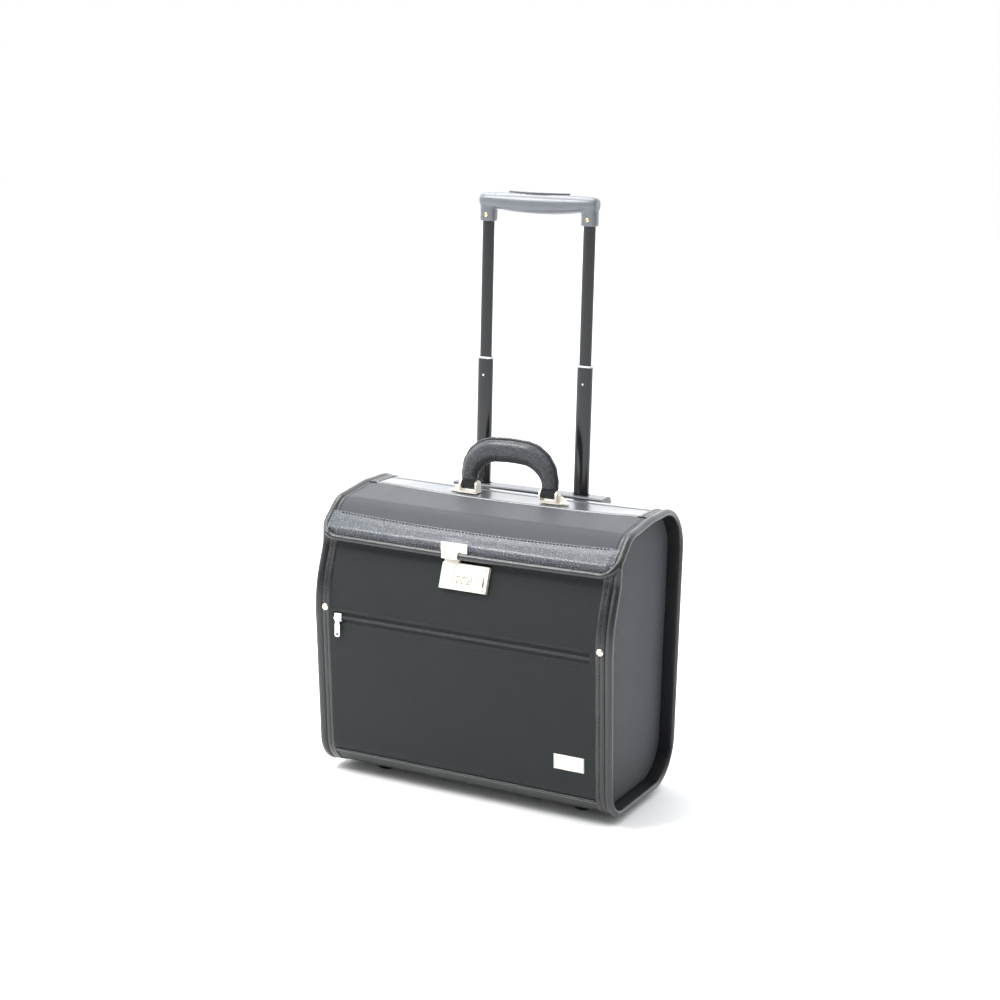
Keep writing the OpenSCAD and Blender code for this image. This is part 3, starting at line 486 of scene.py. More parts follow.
def outline_corners():
    """Corners as (y, z, radius) in metres, clockwise from the lower front corner."""
    rim_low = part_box("rim_right")[0]
    front, base = rim_low.y, rim_low.z
    lean, upper = math.radians(4.5), math.radians(18.8)
    top = base + CASE_H
    rear = front + 244 * MM
    belly_r = 180 * MM
    belly_y = front - belly_r * (math.cos((upper - lean) / 2)
                                 / math.cos((upper + lean) / 2) - 1)
    belly_z = top - 138 * MM
    neck_z = top - 74 * MM
    neck_y = belly_y + (neck_z - belly_z) * math.tan(upper)
    foot_y = belly_y + (belly_z - base) * math.tan(lean)
    return [(foot_y, base, 50 * MM), (belly_y, belly_z, belly_r), (neck_y, neck_z, 30 * MM),
            (neck_y, top - 45 * MM, 14 * MM), (neck_y + 35 * MM, top - 12 * MM, 40 * MM),
            (front + 128 * MM, top - 1.5 * MM, 120 * MM), (rear, top, 68 * MM),
            (rear - 3 * MM, base, 64 * MM)]


def rounded_corner(corners, i):
    """Where a corner's arc starts and ends, its centre, its turn, and -1 if it is hollow."""
    y, z, r = corners[i]
    corner = Vector((y, z))
    u = (corner - Vector(corners[i - 1][:2])).normalized()
    v = (Vector(corners[(i + 1) % len(corners)][:2]) - corner).normalized()
    turn = u.angle(v)
    cut = r * math.tan(turn / 2)
    side = -1 if u.x * v.y - u.y * v.x > 0 else 1
    start = corner - u * cut
    return start, corner + v * cut, start + Vector((u.y, -u.x)) * r * side, turn, side


def walk(corners, step=2.5 * MM):
    """Points, outward normals and running length along the rounded outline."""
    points, normals = [], []
    for i in range(len(corners)):
        start, end, centre, turn, side = rounded_corner(corners, i)
        spoke = start - centre
        count = max(2, int(spoke.length * turn / step))
        for k in range(count):
            arm = swung(spoke, -side * turn * k / count)
            points.append(centre + arm)
            normals.append(arm.normalized() * side)
        following = rounded_corner(corners, (i + 1) % len(corners))[0]
        run = following - end
        count = max(1, int(run.length / step))
        for k in range(count):
            points.append(end.lerp(following, k / count))
            normals.append(Vector((-run.y, run.x)).normalized())
    return points, normals, running(points + points[:1])


PATH, NORMALS, LENGTHS = walk(outline_corners())
AROUND = LENGTHS[-1]


def at(s, inset):
    """Point and outward normal at length s along the outline, set in by inset."""
    s %= AROUND
    i = min(bisect.bisect_right(LENGTHS, s) - 1, len(PATH) - 1)
    j = (i + 1) % len(PATH)
    t = (s - LENGTHS[i]) / max(LENGTHS[i + 1] - LENGTHS[i], 1e-9)
    normal = NORMALS[i].lerp(NORMALS[j], t).normalized()
    return PATH[i].lerp(PATH[j], t) - normal * inset, normal


def where(test, value, axis):
    """Length along the outline where y (axis 0) or z (axis 1) passes value, in one region."""
    for i, p in enumerate(PATH):
        q = PATH[(i + 1) % len(PATH)]
        if test(p) and (p[axis] - value) * (q[axis] - value) <= 0 and p[axis] != q[axis]:
            t = (value - p[axis]) / (q[axis] - p[axis])
            return LENGTHS[i] + t * (LENGTHS[i + 1] - LENGTHS[i])
    raise ValueError("the outline does not pass there")


def front_s(z):
    """Length along the outline to a height on the front."""
    return where(lambda p: p.x < 0, z, 1)


def back_s(z):
    """Length along the outline to a height on the back."""
    return where(lambda p: p.x > 0, z, 1)


def top_s(y):
    """Length along the outline to a depth on the top."""
    return where(lambda p: p.y > 0.39, y, 0)


print("outline", round(AROUND, 4), "m round, belly at", round(min(p.x for p in PATH), 4))

# %% [markdown]
# ## Covered boards
# Each wall is a board wrapped in cloth or leather outside and plain lining inside. It is
# made as one closed shell: an outer grid that may swell, dip or crease above the board, an
# inner grid for the lining, and the edges between them. The grid's UV map holds real
# distances, so the weave runs true round every corner.

# %% Shells laid along the outline
SKIN = 4 * MM
BOARD = 5 * MM
IN_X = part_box("rim_right")[0].x
HALF_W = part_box("rim_right")[1].x
END_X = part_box("end_panel_right")[1].x
ROOM_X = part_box("end_panel_right")[0].x
BASE_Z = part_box("rim_right")[0].z
TOP_Z = BASE_Z + CASE_H


def stops(a, b, step, fine=()):
    """Values from a to b, step apart, and closer ones round each (middle, reach, step)."""
    values = {a, b}
    count = max(1, round((b - a) / step))
    values.update(a + (b - a) * k / count for k in range(count + 1))
    for middle, reach, small in fine:
        k = -reach
        while k <= reach:
            if a < middle + k < b:
                values.add(middle + k)
            k += small
    ordered = sorted(values)
    kept = [ordered[0]]
    for v in ordered[1:]:
        if v - kept[-1] > 0.15 * MM:
            kept.append(v)
    kept[-1] = b
    return kept


def smooth(t):
    """An even ease from 0 to 1."""
    t = min(max(t, 0.0), 1.0)
    return t * t * (3 - 2 * t)


def ripple(x, s, size, seed):
    """Gentle waves of cloth, between -1 and 1, of a given size in metres."""
    return noise.noise(Vector((x / size, s / size, seed)))


def shell(name, xs, ss, lift, outside, inside=None, inset=SKIN, depth=BOARD):
    """A closed wall over the outline from ss[0] to ss[-1], lifted by lift(x, s)."""
    verts, uv = [], []
    rows, across = len(ss), len(xs)
    for inner in (False, True):
        for s in ss:
            for x in xs:
                p = at(s, inset + depth if inner else inset - lift(x, s))[0]
                verts.append((x, p.x, p.y))
                uv.append((x, s))
    made = piece(name, verts, wall_faces(rows, across), outside, uv, 60)
    if inside is not None:
        made.data.materials.append(inside)
        for polygon in made.data.polygons:
            if min(polygon.vertices) >= rows * across:
                polygon.material_index = 1
    return made


# %% Front: upper cloth, zip window and pocket in one
ZIP_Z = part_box("zip_tape")[0].z / 2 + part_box("zip_tape")[1].z / 2
ZIP_LOW, ZIP_HIGH = ZIP_Z - 8.2 * MM, ZIP_Z + 8.2 * MM
ZIP_LEFT, ZIP_RIGHT = -199 * MM, 199 * MM
SEAM_Z = 38 * MM
zip_low_s, zip_high_s = front_s(ZIP_LOW), front_s(ZIP_HIGH)
front_low_s, front_high_s = front_s(SEAM_Z), front_s(TOP_Z - 50 * MM)
lock_low, lock_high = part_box("lock_case")
lock_low_s, lock_high_s = front_s(lock_low.z), front_s(lock_high.z)


def under_lock(x, s):
    """1 where the lock presses the cloth flat on its board, 0 beside it."""
    across = smooth((x - lock_low.x) / (3 * MM)) * smooth((lock_high.x - x) / (3 * MM))
    return (across * smooth((s - lock_low_s) / (3 * MM))
            * smooth((lock_high_s - s) / (3 * MM)))


def front_lift(x, s):
    """How far the front cloth stands off its board."""
    side = smooth((206 * MM - abs(x)) / (5 * MM))
    upper = smooth((s - zip_high_s) / (3 * MM))
    calm = smooth((front_high_s - s) / (25 * MM)) * side
    rise = 1.0 * MM + 1.1 * MM * (1 - upper)
    waves = 0.5 * MM * ripple(x, s, 0.09, 1.0) + 0.22 * MM * ripple(x, s * 0.5, 0.03, 2.0)
    swell = math.sin(math.pi * min(max((s - front_low_s) / (zip_low_s - front_low_s), 0), 1))
    rise += calm * (waves + 1.2 * MM * swell * (1 - (x / IN_X) ** 2) * (1 - upper))
    slack = hump(s - zip_high_s, 26 * MM) * upper
    rise += slack * 0.9 * MM * ripple(x, 0, 0.05, 5.0)
    window = (smooth((x - ZIP_LEFT) / (2 * MM)) * smooth((ZIP_RIGHT - x) / (2 * MM))
              * smooth((s - zip_low_s) / (1.6 * MM)) * smooth((zip_high_s - s) / (1.6 * MM)))
    for edge, way in ((zip_low_s, -1), (zip_high_s, 1)):
        fold = hump(s - edge - way * 1.6 * MM, 1.5 * MM)
        rise += 0.7 * MM * fold * smooth((x - ZIP_LEFT) / (4 * MM)) * smooth(
            (ZIP_RIGHT - x) / (4 * MM))
    rise *= (1 - 0.92 * window) * (1 - 0.9 * under_lock(x, s))
    tuck = smooth((s - front_low_s) / (3 * MM))
    return 0.2 * MM + (rise - 0.2 * MM) * tuck


front_cloth = shell(
    "front_cloth",
    stops(-212 * MM, 212 * MM, 5 * MM, [(ZIP_LEFT, 4 * MM, 0.8 * MM),
                                        (ZIP_RIGHT, 4 * MM, 0.8 * MM)]),
    stops(front_low_s, front_high_s, 5 * MM, [(zip_low_s, 5 * MM, 0.6 * MM),
                                              (zip_high_s, 5 * MM, 0.6 * MM)]),
    front_lift, front_nylon, lining)
on_case(front_cloth, "case", "front_cloth", "front_panel")

# %% Bottom band, back and top strip
back_low_s = back_s(SEAM_Z)
STRIP_SEAM_Z = TOP_Z - 72 * MM
back_high_s = back_s(STRIP_SEAM_Z)
HINGE_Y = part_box("top_strip")[0].y
hinge_s = top_s(HINGE_Y + 0.4 * MM)


def band_lift(x, s):
    """Nearly flat, with a rolled edge along both seams."""
    edge = min(s - back_low_s, front_low_s + AROUND - s)
    roll = 0.8 * MM * hump(edge - 3 * MM, 2 * MM)
    return 0.8 * MM * smooth(edge / (2 * MM)) + roll + 0.15 * MM * ripple(x, s, 0.06, 8.0)


bottom_leather = shell(
    "bottom_leather", stops(-212 * MM, 212 * MM, 8 * MM),
    stops(back_low_s, front_low_s + AROUND, 5 * MM,
          [(back_low_s, 8 * MM, 1 * MM), (front_low_s + AROUND, 8 * MM, 1 * MM)]),
    band_lift, base_leather, lining)
on_case(bottom_leather, "case", "band_leather", "bottom_band")


def back_lift(x, s):
    """A slight belly over the height of the back."""
    t = (s - back_high_s) / (back_low_s - back_high_s)
    return 0.3 * MM + 1.2 * MM * math.sin(math.pi * min(max(t, 0), 1)) + 0.3 * MM * ripple(
        x, s, 0.1, 11.0)


back_cloth = shell("back_cloth", stops(-212 * MM, 212 * MM, 8 * MM),
                   stops(back_high_s, back_low_s, 8 * MM), back_lift, front_nylon, lining)
on_case(back_cloth, "case", "front_cloth", "back_panel")


def hinge_sag(x):
    """The cloth hinge sinks between its two ends."""
    return 3.6 * MM * max(0.0, 1 - ((x - 10 * MM) / (175 * MM)) ** 2) ** 0.7


def strip_lift(x, s):
    """The leather strip: a folded front edge, a sewn crease and a smooth turn to the back."""
    from_hinge = s - hinge_s
    sag = hinge_sag(x) * hump(from_hinge, 45 * MM)
    fold = 0.9 * MM * hump(from_hinge - 2.2 * MM, 2 * MM)
    crease = 0.8 * MM * hump(from_hinge - 44 * MM, 1.5 * MM)
    hem = 0.8 * MM * hump(back_high_s - s - 3 * MM, 2 * MM)
    wave = 0.25 * MM * ripple(x, s, 0.05, 14.0)
    return 1.1 * MM * smooth(from_hinge / (1.2 * MM)) + fold + hem - crease - sag + wave


def pierced(uncut, name, holes):
    """A closed shell with upright holes cut through it, each given by two corners."""
    verts, faces = [], []
    for low, high in holes:
        first = len(verts)
        verts += [(x, y, z) for z in (low.z, high.z) for x, y in (
            (low.x, low.y), (high.x, low.y), (high.x, high.y), (low.x, high.y))]
        faces += [[first + k for k in face] for face in (
            (3, 2, 1, 0), (4, 5, 6, 7), (0, 1, 5, 4), (1, 2, 6, 5), (2, 3, 7, 6),
            (3, 0, 4, 7))]
    cutter = piece("hole_blocks", verts, faces, lining, None, 30)
    cut = uncut.modifiers.new("holes", "BOOLEAN")
    cut.operation, cut.solver, cut.object = "DIFFERENCE", "EXACT", cutter
    made = baked(uncut, name)
    bpy.data.objects.remove(cutter)
    return made


TROLLEY_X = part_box("grip")[1].x - 12 * MM
outer_low, outer_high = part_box("outer_tubes")
room = Vector((outer_high.x - TROLLEY_X + 0.6 * MM, 0.6 * MM, 80 * MM))
leg_holes = [(Vector((side * TROLLEY_X - room.x, outer_low.y - room.y, outer_high.z - room.z)),
              Vector((side * TROLLEY_X + room.x, outer_high.y + room.y, outer_high.z + room.z)))
             for side in (-1, 1)]
top_leather = pierced(shell(
    "top_leather_uncut", stops(-212 * MM, 212 * MM, 6 * MM),
    stops(hinge_s, back_high_s, 5 * MM, [(hinge_s, 8 * MM, 0.9 * MM),
                                         (hinge_s + 44 * MM, 4 * MM, 0.8 * MM),
                                         (back_high_s, 7 * MM, 1 * MM)]),
    strip_lift, strip_leather, lining), "top_leather", leg_holes)
on_case(top_leather, "case", "top_cloth", "top_strip")

# %% Lid cloth
LID_SEAM_Z = TOP_Z - 28 * MM
lid_end_s = top_s(HINGE_Y - 0.4 * MM)
lid_low_s = front_s(TOP_Z - 44 * MM)
brow_s = top_s(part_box("lid_board")[0].y + 38 * MM)


def lid_lift(x, s):
    """Soft waves and a crease at the brow, sagging toward the hinge."""
    to_hinge = lid_end_s - s
    sag = hinge_sag(x) * hump(to_hinge, 60 * MM)
    crease = 0.5 * MM * hump(s - brow_s, 2 * MM)
    wave = 0.4 * MM * ripple(x, s, 0.07, 17.0) + 0.15 * MM * ripple(x, s, 0.02, 18.0)
    side = smooth((216 * MM - abs(x)) / (5 * MM))
    return (0.9 * MM + (wave + crease) * side) * smooth(to_hinge / (1.5 * MM)) - sag


lid_cloth = shell(
    "lid_cloth", stops(-217 * MM, 217 * MM, 6 * MM),
    stops(lid_low_s, lid_end_s, 5 * MM, [(brow_s, 5 * MM, 1 * MM),
                                         (lid_end_s, 4 * MM, 0.8 * MM)]),
    lid_lift, lid_nylon, lining)
on_case(lid_cloth, "lid", "top_cloth", "lid_board")

# %% [markdown]
# ## End panels
# The two ends are set back inside their rims. Each is a cloth-covered board whose cloth is
# pulled tight, so it swells only a little in the middle and turns in at its edge.

# %% End panels
RING_POINTS = 220


def end_cloth(side):
    """One end panel: rings of points drawn in from the outline to the middle."""
    shares = [1.0, 0.992, 0.975, 0.94, 0.88, 0.78, 0.64, 0.46, 0.26, 0.1]
    ring = [at(AROUND * k / RING_POINTS, 9.7 * MM)[0] for k in range(RING_POINTS)]
    middle = Vector((sum(p.x for p in ring) / RING_POINTS,
                     sum(p.y for p in ring) / RING_POINTS))
    verts, uv, faces = [], [], []
    for outer in (True, False):
        for share in shares:
            for p in ring:
                q = middle + (p - middle) * share
                puff = 1.6 * MM * smooth((1 - share) / 0.5) - 1.2 * MM * (1 - smooth(
                    (1 - share) / 0.012)) + 0.35 * MM * ripple(q.x, q.y, 0.08, 21.0 + side)
                x = END_X + puff if outer else ROOM_X
                verts.append((side * x, q.x, q.y))
                uv.append((q.x, q.y))
    rings, n = len(shares), RING_POINTS
    for k, base in enumerate((0, rings * n)):
        for i in range(rings - 1):
            for j in range(n):
                a, b = base + i * n + j, base + i * n + (j + 1) % n
                quad = (a, b, b + n, a + n)
                faces.append(quad if (k == 0) == (side < 0) else quad[::-1])
        hub = len(verts)
        x = END_X + 1.6 * MM if k == 0 else ROOM_X
        verts.append((side * x, middle.x, middle.y))
        uv.append((middle.x, middle.y))
        last = base + (rings - 1) * n
        for j in range(n):
            tri = (last + j, last + (j + 1) % n, hub)
            faces.append(tri if (k == 0) == (side < 0) else tri[::-1])
    for j in range(n):
        edge = (j, rings * n + j, rings * n + (j + 1) % n, (j + 1) % n)
        faces.append(edge if side < 0 else edge[::-1])
    made = piece("end_cloth_" + ("left" if side < 0 else "right"), verts, faces, side_nylon,
                 uv, 50)
    made.data.materials.append(lining)
    for polygon in made.data.polygons:
        if all(abs(abs(verts[v][0]) - ROOM_X) < 1e-6 for v in polygon.vertices):
            polygon.material_index = 1
    return made


on_case(end_cloth(-1), "case", "side_cloth", "end_panel_left")
on_case(end_cloth(1), "case", "side_cloth", "end_panel_right")

# %% [markdown]
# ## Bound rims
# At each side a strip of leather is folded over the edges of the boards and sewn down. Seen
# in section it is a flat sewn tape, a groove where the thread pulls it in, and a round bead
# over the filler cord. The same section runs round the case and, apart, round the lid.

# %% Rim section and sweep
# Points of the rim's section, in mm: (distance from the case's middle, depth inside the
# outline). The bead's crown is at depth 0.
RIM_SECTION = [(205.4, 5.0), (205.2, 2.9), (205.8, 2.1), (207.5, 1.75), (210.2, 1.65),
               (211.4, 2.0), (212.6, 2.0), (213.8, 1.65), (216.6, 1.85), (218.0, 2.6),
               (218.8, 3.3), (219.5, 2.6), (220.7, 1.2), (222.6, 0.3), (224.7, 0.0),
               (226.8, 0.35), (228.6, 1.5), (229.7, 3.3), (230.0, 5.3), (229.6, 7.2),
               (228.4, 8.6), (226.0, 9.1), (219.0, 9.2), (209.1, 9.2), (206.0, 9.2)]
# The lid's rim is narrower and has the same bead.
LID_RIM_SECTION = [(215.6, 5.2), (215.4, 3.8), (216.2, 3.1), (218.0, 3.3)] + RIM_SECTION[
    10:22] + [(219.0, 9.2), (216.0, 9.2)]


def rim(name, side, s0, s1, section=RIM_SECTION):
    """A closed strip of rim between two lengths along the outline."""
    ss = stops(s0, s1, 4 * MM)
    verts = []
    for s in ss:
        pucker = 0.12 * MM * ripple(side, s, 0.012, 31.0)
        pucker += 0.2 * MM * ripple(side, s, 0.05, 33.0)
        for x, inset in section:
            soft = pucker if inset < 6 else 0
            p = at(s, inset * MM - soft + (0.15 * MM if x > 220 else 0))[0]
            verts.append((side * x * MM, p.x, p.y))
    faces = ring_faces(len(ss), len(section))
    if side < 0:
        faces = [face[::-1] for face in faces]
    return piece(name, verts, faces, rim_leather, None, 55)


lid_rim_low_s = front_s(TOP_Z - 49 * MM)
case_rim_high_s = front_s(TOP_Z - 50 * MM)
for side, word in ((-1, "left"), (1, "right")):
    on_case(rim("case_rim_" + word, side, hinge_s, case_rim_high_s + AROUND), "case",
            "rim_leather", "rim_" + word)
    on_case(rim("lid_rim_leather_" + word, side, lid_rim_low_s, lid_end_s, LID_RIM_SECTION),
            "lid", "rim_leather", "lid_rim_" + word)

# %% [markdown]
# ## Sewing
# Geometry Nodes lay the stitches. A line of points is drawn just above the leather, the tree
# measures it out at one stitch per pitch, and puts a short rounded thread on each mark,
# turned along the line.

# %% Running-stitch tree
def new_tree(name, inputs):
    """A geometry tree with a geometry socket each way and named inputs."""
    tree = bpy.data.node_groups.new(name, "GeometryNodeTree")
    tree.interface.new_socket("Geometry", in_out="INPUT", socket_type="NodeSocketGeometry")
    for title, kind in inputs.items():
        tree.interface.new_socket(title, in_out="INPUT", socket_type="NodeSocket" + kind)
    tree.interface.new_socket("Geometry", in_out="OUTPUT", socket_type="NodeSocketGeometry")
    return tree, tree.nodes.new("NodeGroupInput").outputs


def end_tree(tree, instances, material):
    """Ends a tree in real meshes with a material."""
    real = add(tree, "GeometryNodeRealizeInstances", {"Geometry": instances})
    dressed = add(tree, "GeometryNodeSetMaterial",
                  {"Geometry": real.outputs[0], "Material": material})
    add(tree, "NodeGroupOutput", {"Geometry": dressed.outputs[0]})


def grown(name, source, tree, values):
    """Runs a tree on a source object and returns the result as a plain mesh object."""
    modifier = source.modifiers.new("grow", "NODES")
    modifier.node_group = tree
    for item in tree.interface.items_tree:
        if item.item_type == "SOCKET" and item.in_out == "INPUT" and item.name in values:
            modifier[item.identifier] = values[item.name]
    made = baked(source, name)
    made.data.shade_smooth()
    return made


def beads_tree(name, sizes, x, y, z, turned_along):
    """Lays a small rounded bead at every pitch along a line of edges.

    x, y and z are the bead's lengths: numbers, or the names of inputs in sizes.
    """
    tree, given = new_tree(name, {"Pitch": "Float", **sizes, "Material": "Material"})
    seam = add(tree, "GeometryNodeMeshToCurve", {"Mesh": given["Geometry"]})
    marks = add(tree, "GeometryNodeResampleCurve",
                {"Curve": seam.outputs[0], "Length": given["Pitch"]}, mode="LENGTH")
    bead = add(tree, "GeometryNodeMeshUVSphere", {"Segments": 6, "Rings": 4, "Radius": 0.5})
    size = add(tree, "ShaderNodeCombineXYZ",
               {axis: given[length] if isinstance(length, str) else length
                for axis, length in (("X", x), ("Y", y), ("Z", z))})
    inputs = {"Points": marks.outputs[0], "Instance": bead.outputs[0],
              "Scale": size.outputs[0]}
    if turned_along:
        along = add(tree, "GeometryNodeInputTangent")
        inputs["Rotation"] = add(tree, "FunctionNodeAlignRotationToVector",
                                 {"Vector": along.outputs[0]}, axis="X").outputs[0]
    laid = add(tree, "GeometryNodeInstanceOnPoints", inputs)
    end_tree(tree, laid.outputs[0], given["Material"])
    return tree


stitch_tree = beads_tree("running_stitch", {"Length": "Float", "Thread": "Float"},
                         "Length", "Thread", "Thread", True)


def lines_object(name, lines):
    """Open lines of points as one mesh of edges."""
    verts, edges = [], []
    for line in lines:
        start = len(verts)
        verts += [tuple(p) for p in line]
        edges += [(start + i, start + i + 1) for i in range(len(line) - 1)]
    mesh = bpy.data.meshes.new(name)
    mesh.from_pydata(verts, edges, [])
    made = bpy.data.objects.new(name, mesh)
    scene.collection.objects.link(made)
    return made


def stitches(name, lines, body, slot, material, pitch=5.2, length=3.3, width=1.5):
    """Stitches along open lines, riding on a body; sizes in millimetres."""
    made = grown(name, lines_object(name + "_lines", lines), stitch_tree,
                 {"Pitch": pitch * MM, "Length": length * MM, "Thread": width * MM,
                  "Material": material})
    return on_case(made, body, slot)


def round_line(x, inset, s0, s1, step=6 * MM):
    """A line along the outline at one x, set in by inset."""
    count = max(2, int((s1 - s0) / step))
    line = []
    for k in range(count + 1):
        p = at(s0 + (s1 - s0) * k / count, inset)[0]
        line.append((x, p.x, p.y))
    return line


# %% Stitches of the case and its rims
case_lines = [round_line(side * 212 * MM, 1.85 * MM, hinge_s + 4 * MM,
                         case_rim_high_s + AROUND - 2 * MM) for side in (-1, 1)]
stitches("rim_stitches", case_lines, "case", "rim_leather", dark_thread)
strip_x = [-204 * MM + 408 * MM * k / 60 for k in range(61)]


def cross_line(xs, s_of_x, inset_of):
    """A line across the case, at a length along the outline that may change with x."""
    line = []
    for x in xs:
        s = s_of_x(x)
        p = at(s, inset_of(x, s))[0]
        line.append((x, p.x, p.y))
    return line


# Real stitches on the band's seam, in pale thread whose colour is a painted highlight for the
# seam cord beside them.
stitches("band_seam_stitches", [
    cross_line(strip_x, lambda x: front_low_s + AROUND - 3 * MM,
               lambda x, s: SKIN - band_lift(x, s) - 0.1 * MM)],
    "case", "band_leather", thread)
welt = [(x, at(front_low_s - 0.6 * MM, 2.3 * MM)[0]) for x in strip_x]
on_case(tube("bottom_seam_cord", [((x, p.x, p.y), 1.7 * MM) for x, p in welt], rim_leather, 12),
        "case", "band_leather")
stitches("pocket_stitches", [
    cross_line([x for x in strip_x if ZIP_LEFT < x < ZIP_RIGHT], lambda x: zip_low_s - 3.5 * MM,
               lambda x, s: SKIN - front_lift(x, s) - 0.05 * MM),
    cross_line([x for x in strip_x if ZIP_LEFT < x < ZIP_RIGHT], lambda x: zip_high_s + 3.5 * MM,
               lambda x, s: SKIN - front_lift(x, s) - 0.05 * MM)],
    "case", "front_cloth", dark_thread, 3.6, 2.6, 0.7)
stitches("strip_stitches", [
    cross_line(strip_x, lambda x: hinge_s + d, lambda x, s: SKIN - strip_lift(x, s) - 0.1 * MM)
    for d in (5 * MM, 41 * MM)] + [
    cross_line(strip_x, lambda x: back_high_s - 6 * MM,
               lambda x, s: SKIN - strip_lift(x, s) - 0.1 * MM)],
    "case", "top_cloth", dark_thread, 3.8, 2.8, 0.8)

# %% [markdown]
# ## Lid band and its rolled hem
# The lid's front edge is a wide band of pebbled leather. It lies over the sloping brow, turns
# down over the front, and ends in a hem rolled over a cord. The cord leaves each side rim,
# rounds the lower corner and crosses the front, so it is one tube along one line.

# %% Band section
FACE_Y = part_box("lid_band")[0].y - 1.2 * MM
HEM_Z = TOP_Z - 62.8 * MM
CORNER_R = 24 * MM
BAND_HALF = 220 * MM


def slope_line(inset):
    """A point on the brow's slope at the band's seam, and the way down it."""
    high = at(front_s(LID_SEAM_Z), inset)[0]
    low = at(front_s(LID_SEAM_Z - 6 * MM), inset)[0]
    return high, (low - high).normalized()


def band_section(radius=9 * MM):
    """Points and outward normals down the band, from its seam to its hem."""
    high, down = slope_line(1.1 * MM)
    corner = high + down * ((FACE_Y - high.x) / down.x)
    straight = Vector((0, -1))
    turn = down.angle(straight)
    cut = radius * math.tan(turn / 2)
    start = corner - down * cut
    inward = Vector((-down.y, down.x)) * -1
    if inward.x < 0:
        inward = -inward
    centre = start + inward * radius
    points, normals = [], []
    count = int((start - high).length / (1.5 * MM))
    for k in range(count):
        points.append(high.lerp(start, k / count))
        normals.append(-inward)
    spoke = start - centre
    for k in range(9):
        arm = swung(spoke, turn * k / 8)
        points.append(centre + arm)
        normals.append(arm.normalized())
    last = points[-1]
    end = Vector((last.x, HEM_Z))
    for k in range(1, 13):
        points.append(last.lerp(end, k / 12))
        normals.append(Vector((-1, 0)))
    return points, normals, running(points)


BAND = band_section()


def band_at(length, lift):
    """Point on the band's section at a length from its seam, lifted by lift."""
    points, normals, lengths = BAND
    length = min(max(length, 0.0), lengths[-1])
    i = min(bisect.bisect_right(lengths, length) - 1, len(points) - 2)
    t = (length - lengths[i]) / (lengths[i + 1] - lengths[i])
    return points[i].lerp(points[i + 1], t) + normals[i].lerp(normals[i + 1], t) * lift


def corner_rise(x, radius=21.5 * MM):
    """How far the hem has risen at x, round the lid's lower corner."""
    reach = abs(x) - (HALF_W - 4.5 * MM - CORNER_R)
    if reach <= 0:
        return 0.0
    return radius - math.sqrt(max(radius ** 2 - min(reach, radius) ** 2, 0))


def seam_dip(x):
    """The upper seam hangs a little lower in the middle of the lid."""
    return 5.5 * MM * max(0.0, 1 - (x / (205 * MM)) ** 2)


def hem_sag(x):
    """The hem hangs lower in the middle too, by less."""
    return 1.5 * MM * max(0.0, 1 - (x / (190 * MM)) ** 2)


# %% Band leather
def lid_band_leather():
    """The band: one skin from its seam to its hem, grained, puckered and dented at the hasp."""
    xs = stops(-BAND_HALF, BAND_HALF, 4 * MM, [(-212 * MM, 9 * MM, 1.5 * MM),
                                               (212 * MM, 9 * MM, 1.5 * MM)])
    shares = [0, 0.012, 0.03, 0.05, 0.075, 0.1, 0.13] + [
        0.16 + 0.7 * k / 18 for k in range(19)] + [0.89, 0.92, 0.945, 0.965, 0.985, 1.0]
    verts, uv = [], []
    full = BAND[2][-1]
    for inner in (False, True):
        for share in shares:
            for x in xs:
                start, end = seam_dip(x), full - corner_rise(x)
                length = start + (end - start) * share
                from_top, from_hem = length - start, end - length
                near_side = smooth((BAND_HALF - abs(x)) / (10 * MM))
                lift = 1.5 * MM * smooth(from_top / (1.6 * MM)) - 1.5 * MM
                lift += 1.3 * MM * smooth(from_top / (14 * MM)) * smooth(
                    from_hem / (12 * MM)) * near_side
                for line in (from_top - 3.2 * MM, from_hem - 7.2 * MM):
                    lift -= 0.8 * MM * hump(line, 1.1 * MM)
                lift += 0.5 * MM * ripple(x, length, 0.04, 41.0) * near_side
                lift += 0.12 * MM * ripple(x, length, 0.009, 42.0)
                dent = hump(x + 11 * MM, 24 * MM) * math.exp(
                    -(((from_hem - 10 * MM) / (12 * MM)) ** 2))
                lift -= 1.4 * MM * dent
                p = band_at(length, lift - (2.2 * MM if inner else 0))
                verts.append((x, p.x, p.y - hem_sag(x) * share))
                uv.append((x, length))
    return piece("lid_band_leather", verts, flipped(wall_faces(len(shares), len(xs))),
                 band_leather, uv, 60)


on_case(lid_band_leather(), "lid", "band_leather", "lid_band")

# %% Rolled hem
HEM_OUT = 1.6 * MM


def hem_line(radius):
    """The hem cord's line: down from the left rim, along the hem, up into the right rim."""
    high, down = slope_line(5.3 * MM)
    mid_x, mid_z = HALF_W - 4.5 * MM - CORNER_R, HEM_Z + CORNER_R
    half = []
    for k in range(6):
        half.append((HALF_W - 5.0 * MM, mid_z + (6 - k) * 2 * MM, 5.2 * MM))
    for k in range(15):
        a = math.pi / 2 * k / 14
        half.append((mid_x + CORNER_R * math.cos(a), mid_z - CORNER_R * math.sin(a),
                     5.2 * MM + (radius - 5.2 * MM) * smooth(k / 8)))
    for k in range(1, 20):
        half.append((mid_x * (1 - k / 20), HEM_Z - hem_sag(mid_x * (1 - k / 20)), radius))
    line = []
    for x, z, r in half:
        on_slope = high.x + down.x * (z - high.y) / down.y
        line.append(((x, max(on_slope, FACE_Y - HEM_OUT), z), r))
    middle = ((0, FACE_Y - HEM_OUT, HEM_Z - hem_sag(0)), radius)
    return [((-x, y, z), r) for (x, y, z), r in line] + [middle] + line[::-1]


hem_path = hem_line(4.7 * MM)
on_case(tube("lid_hem_cord", hem_path, rim_leather, 20), "lid", "rim_leather")

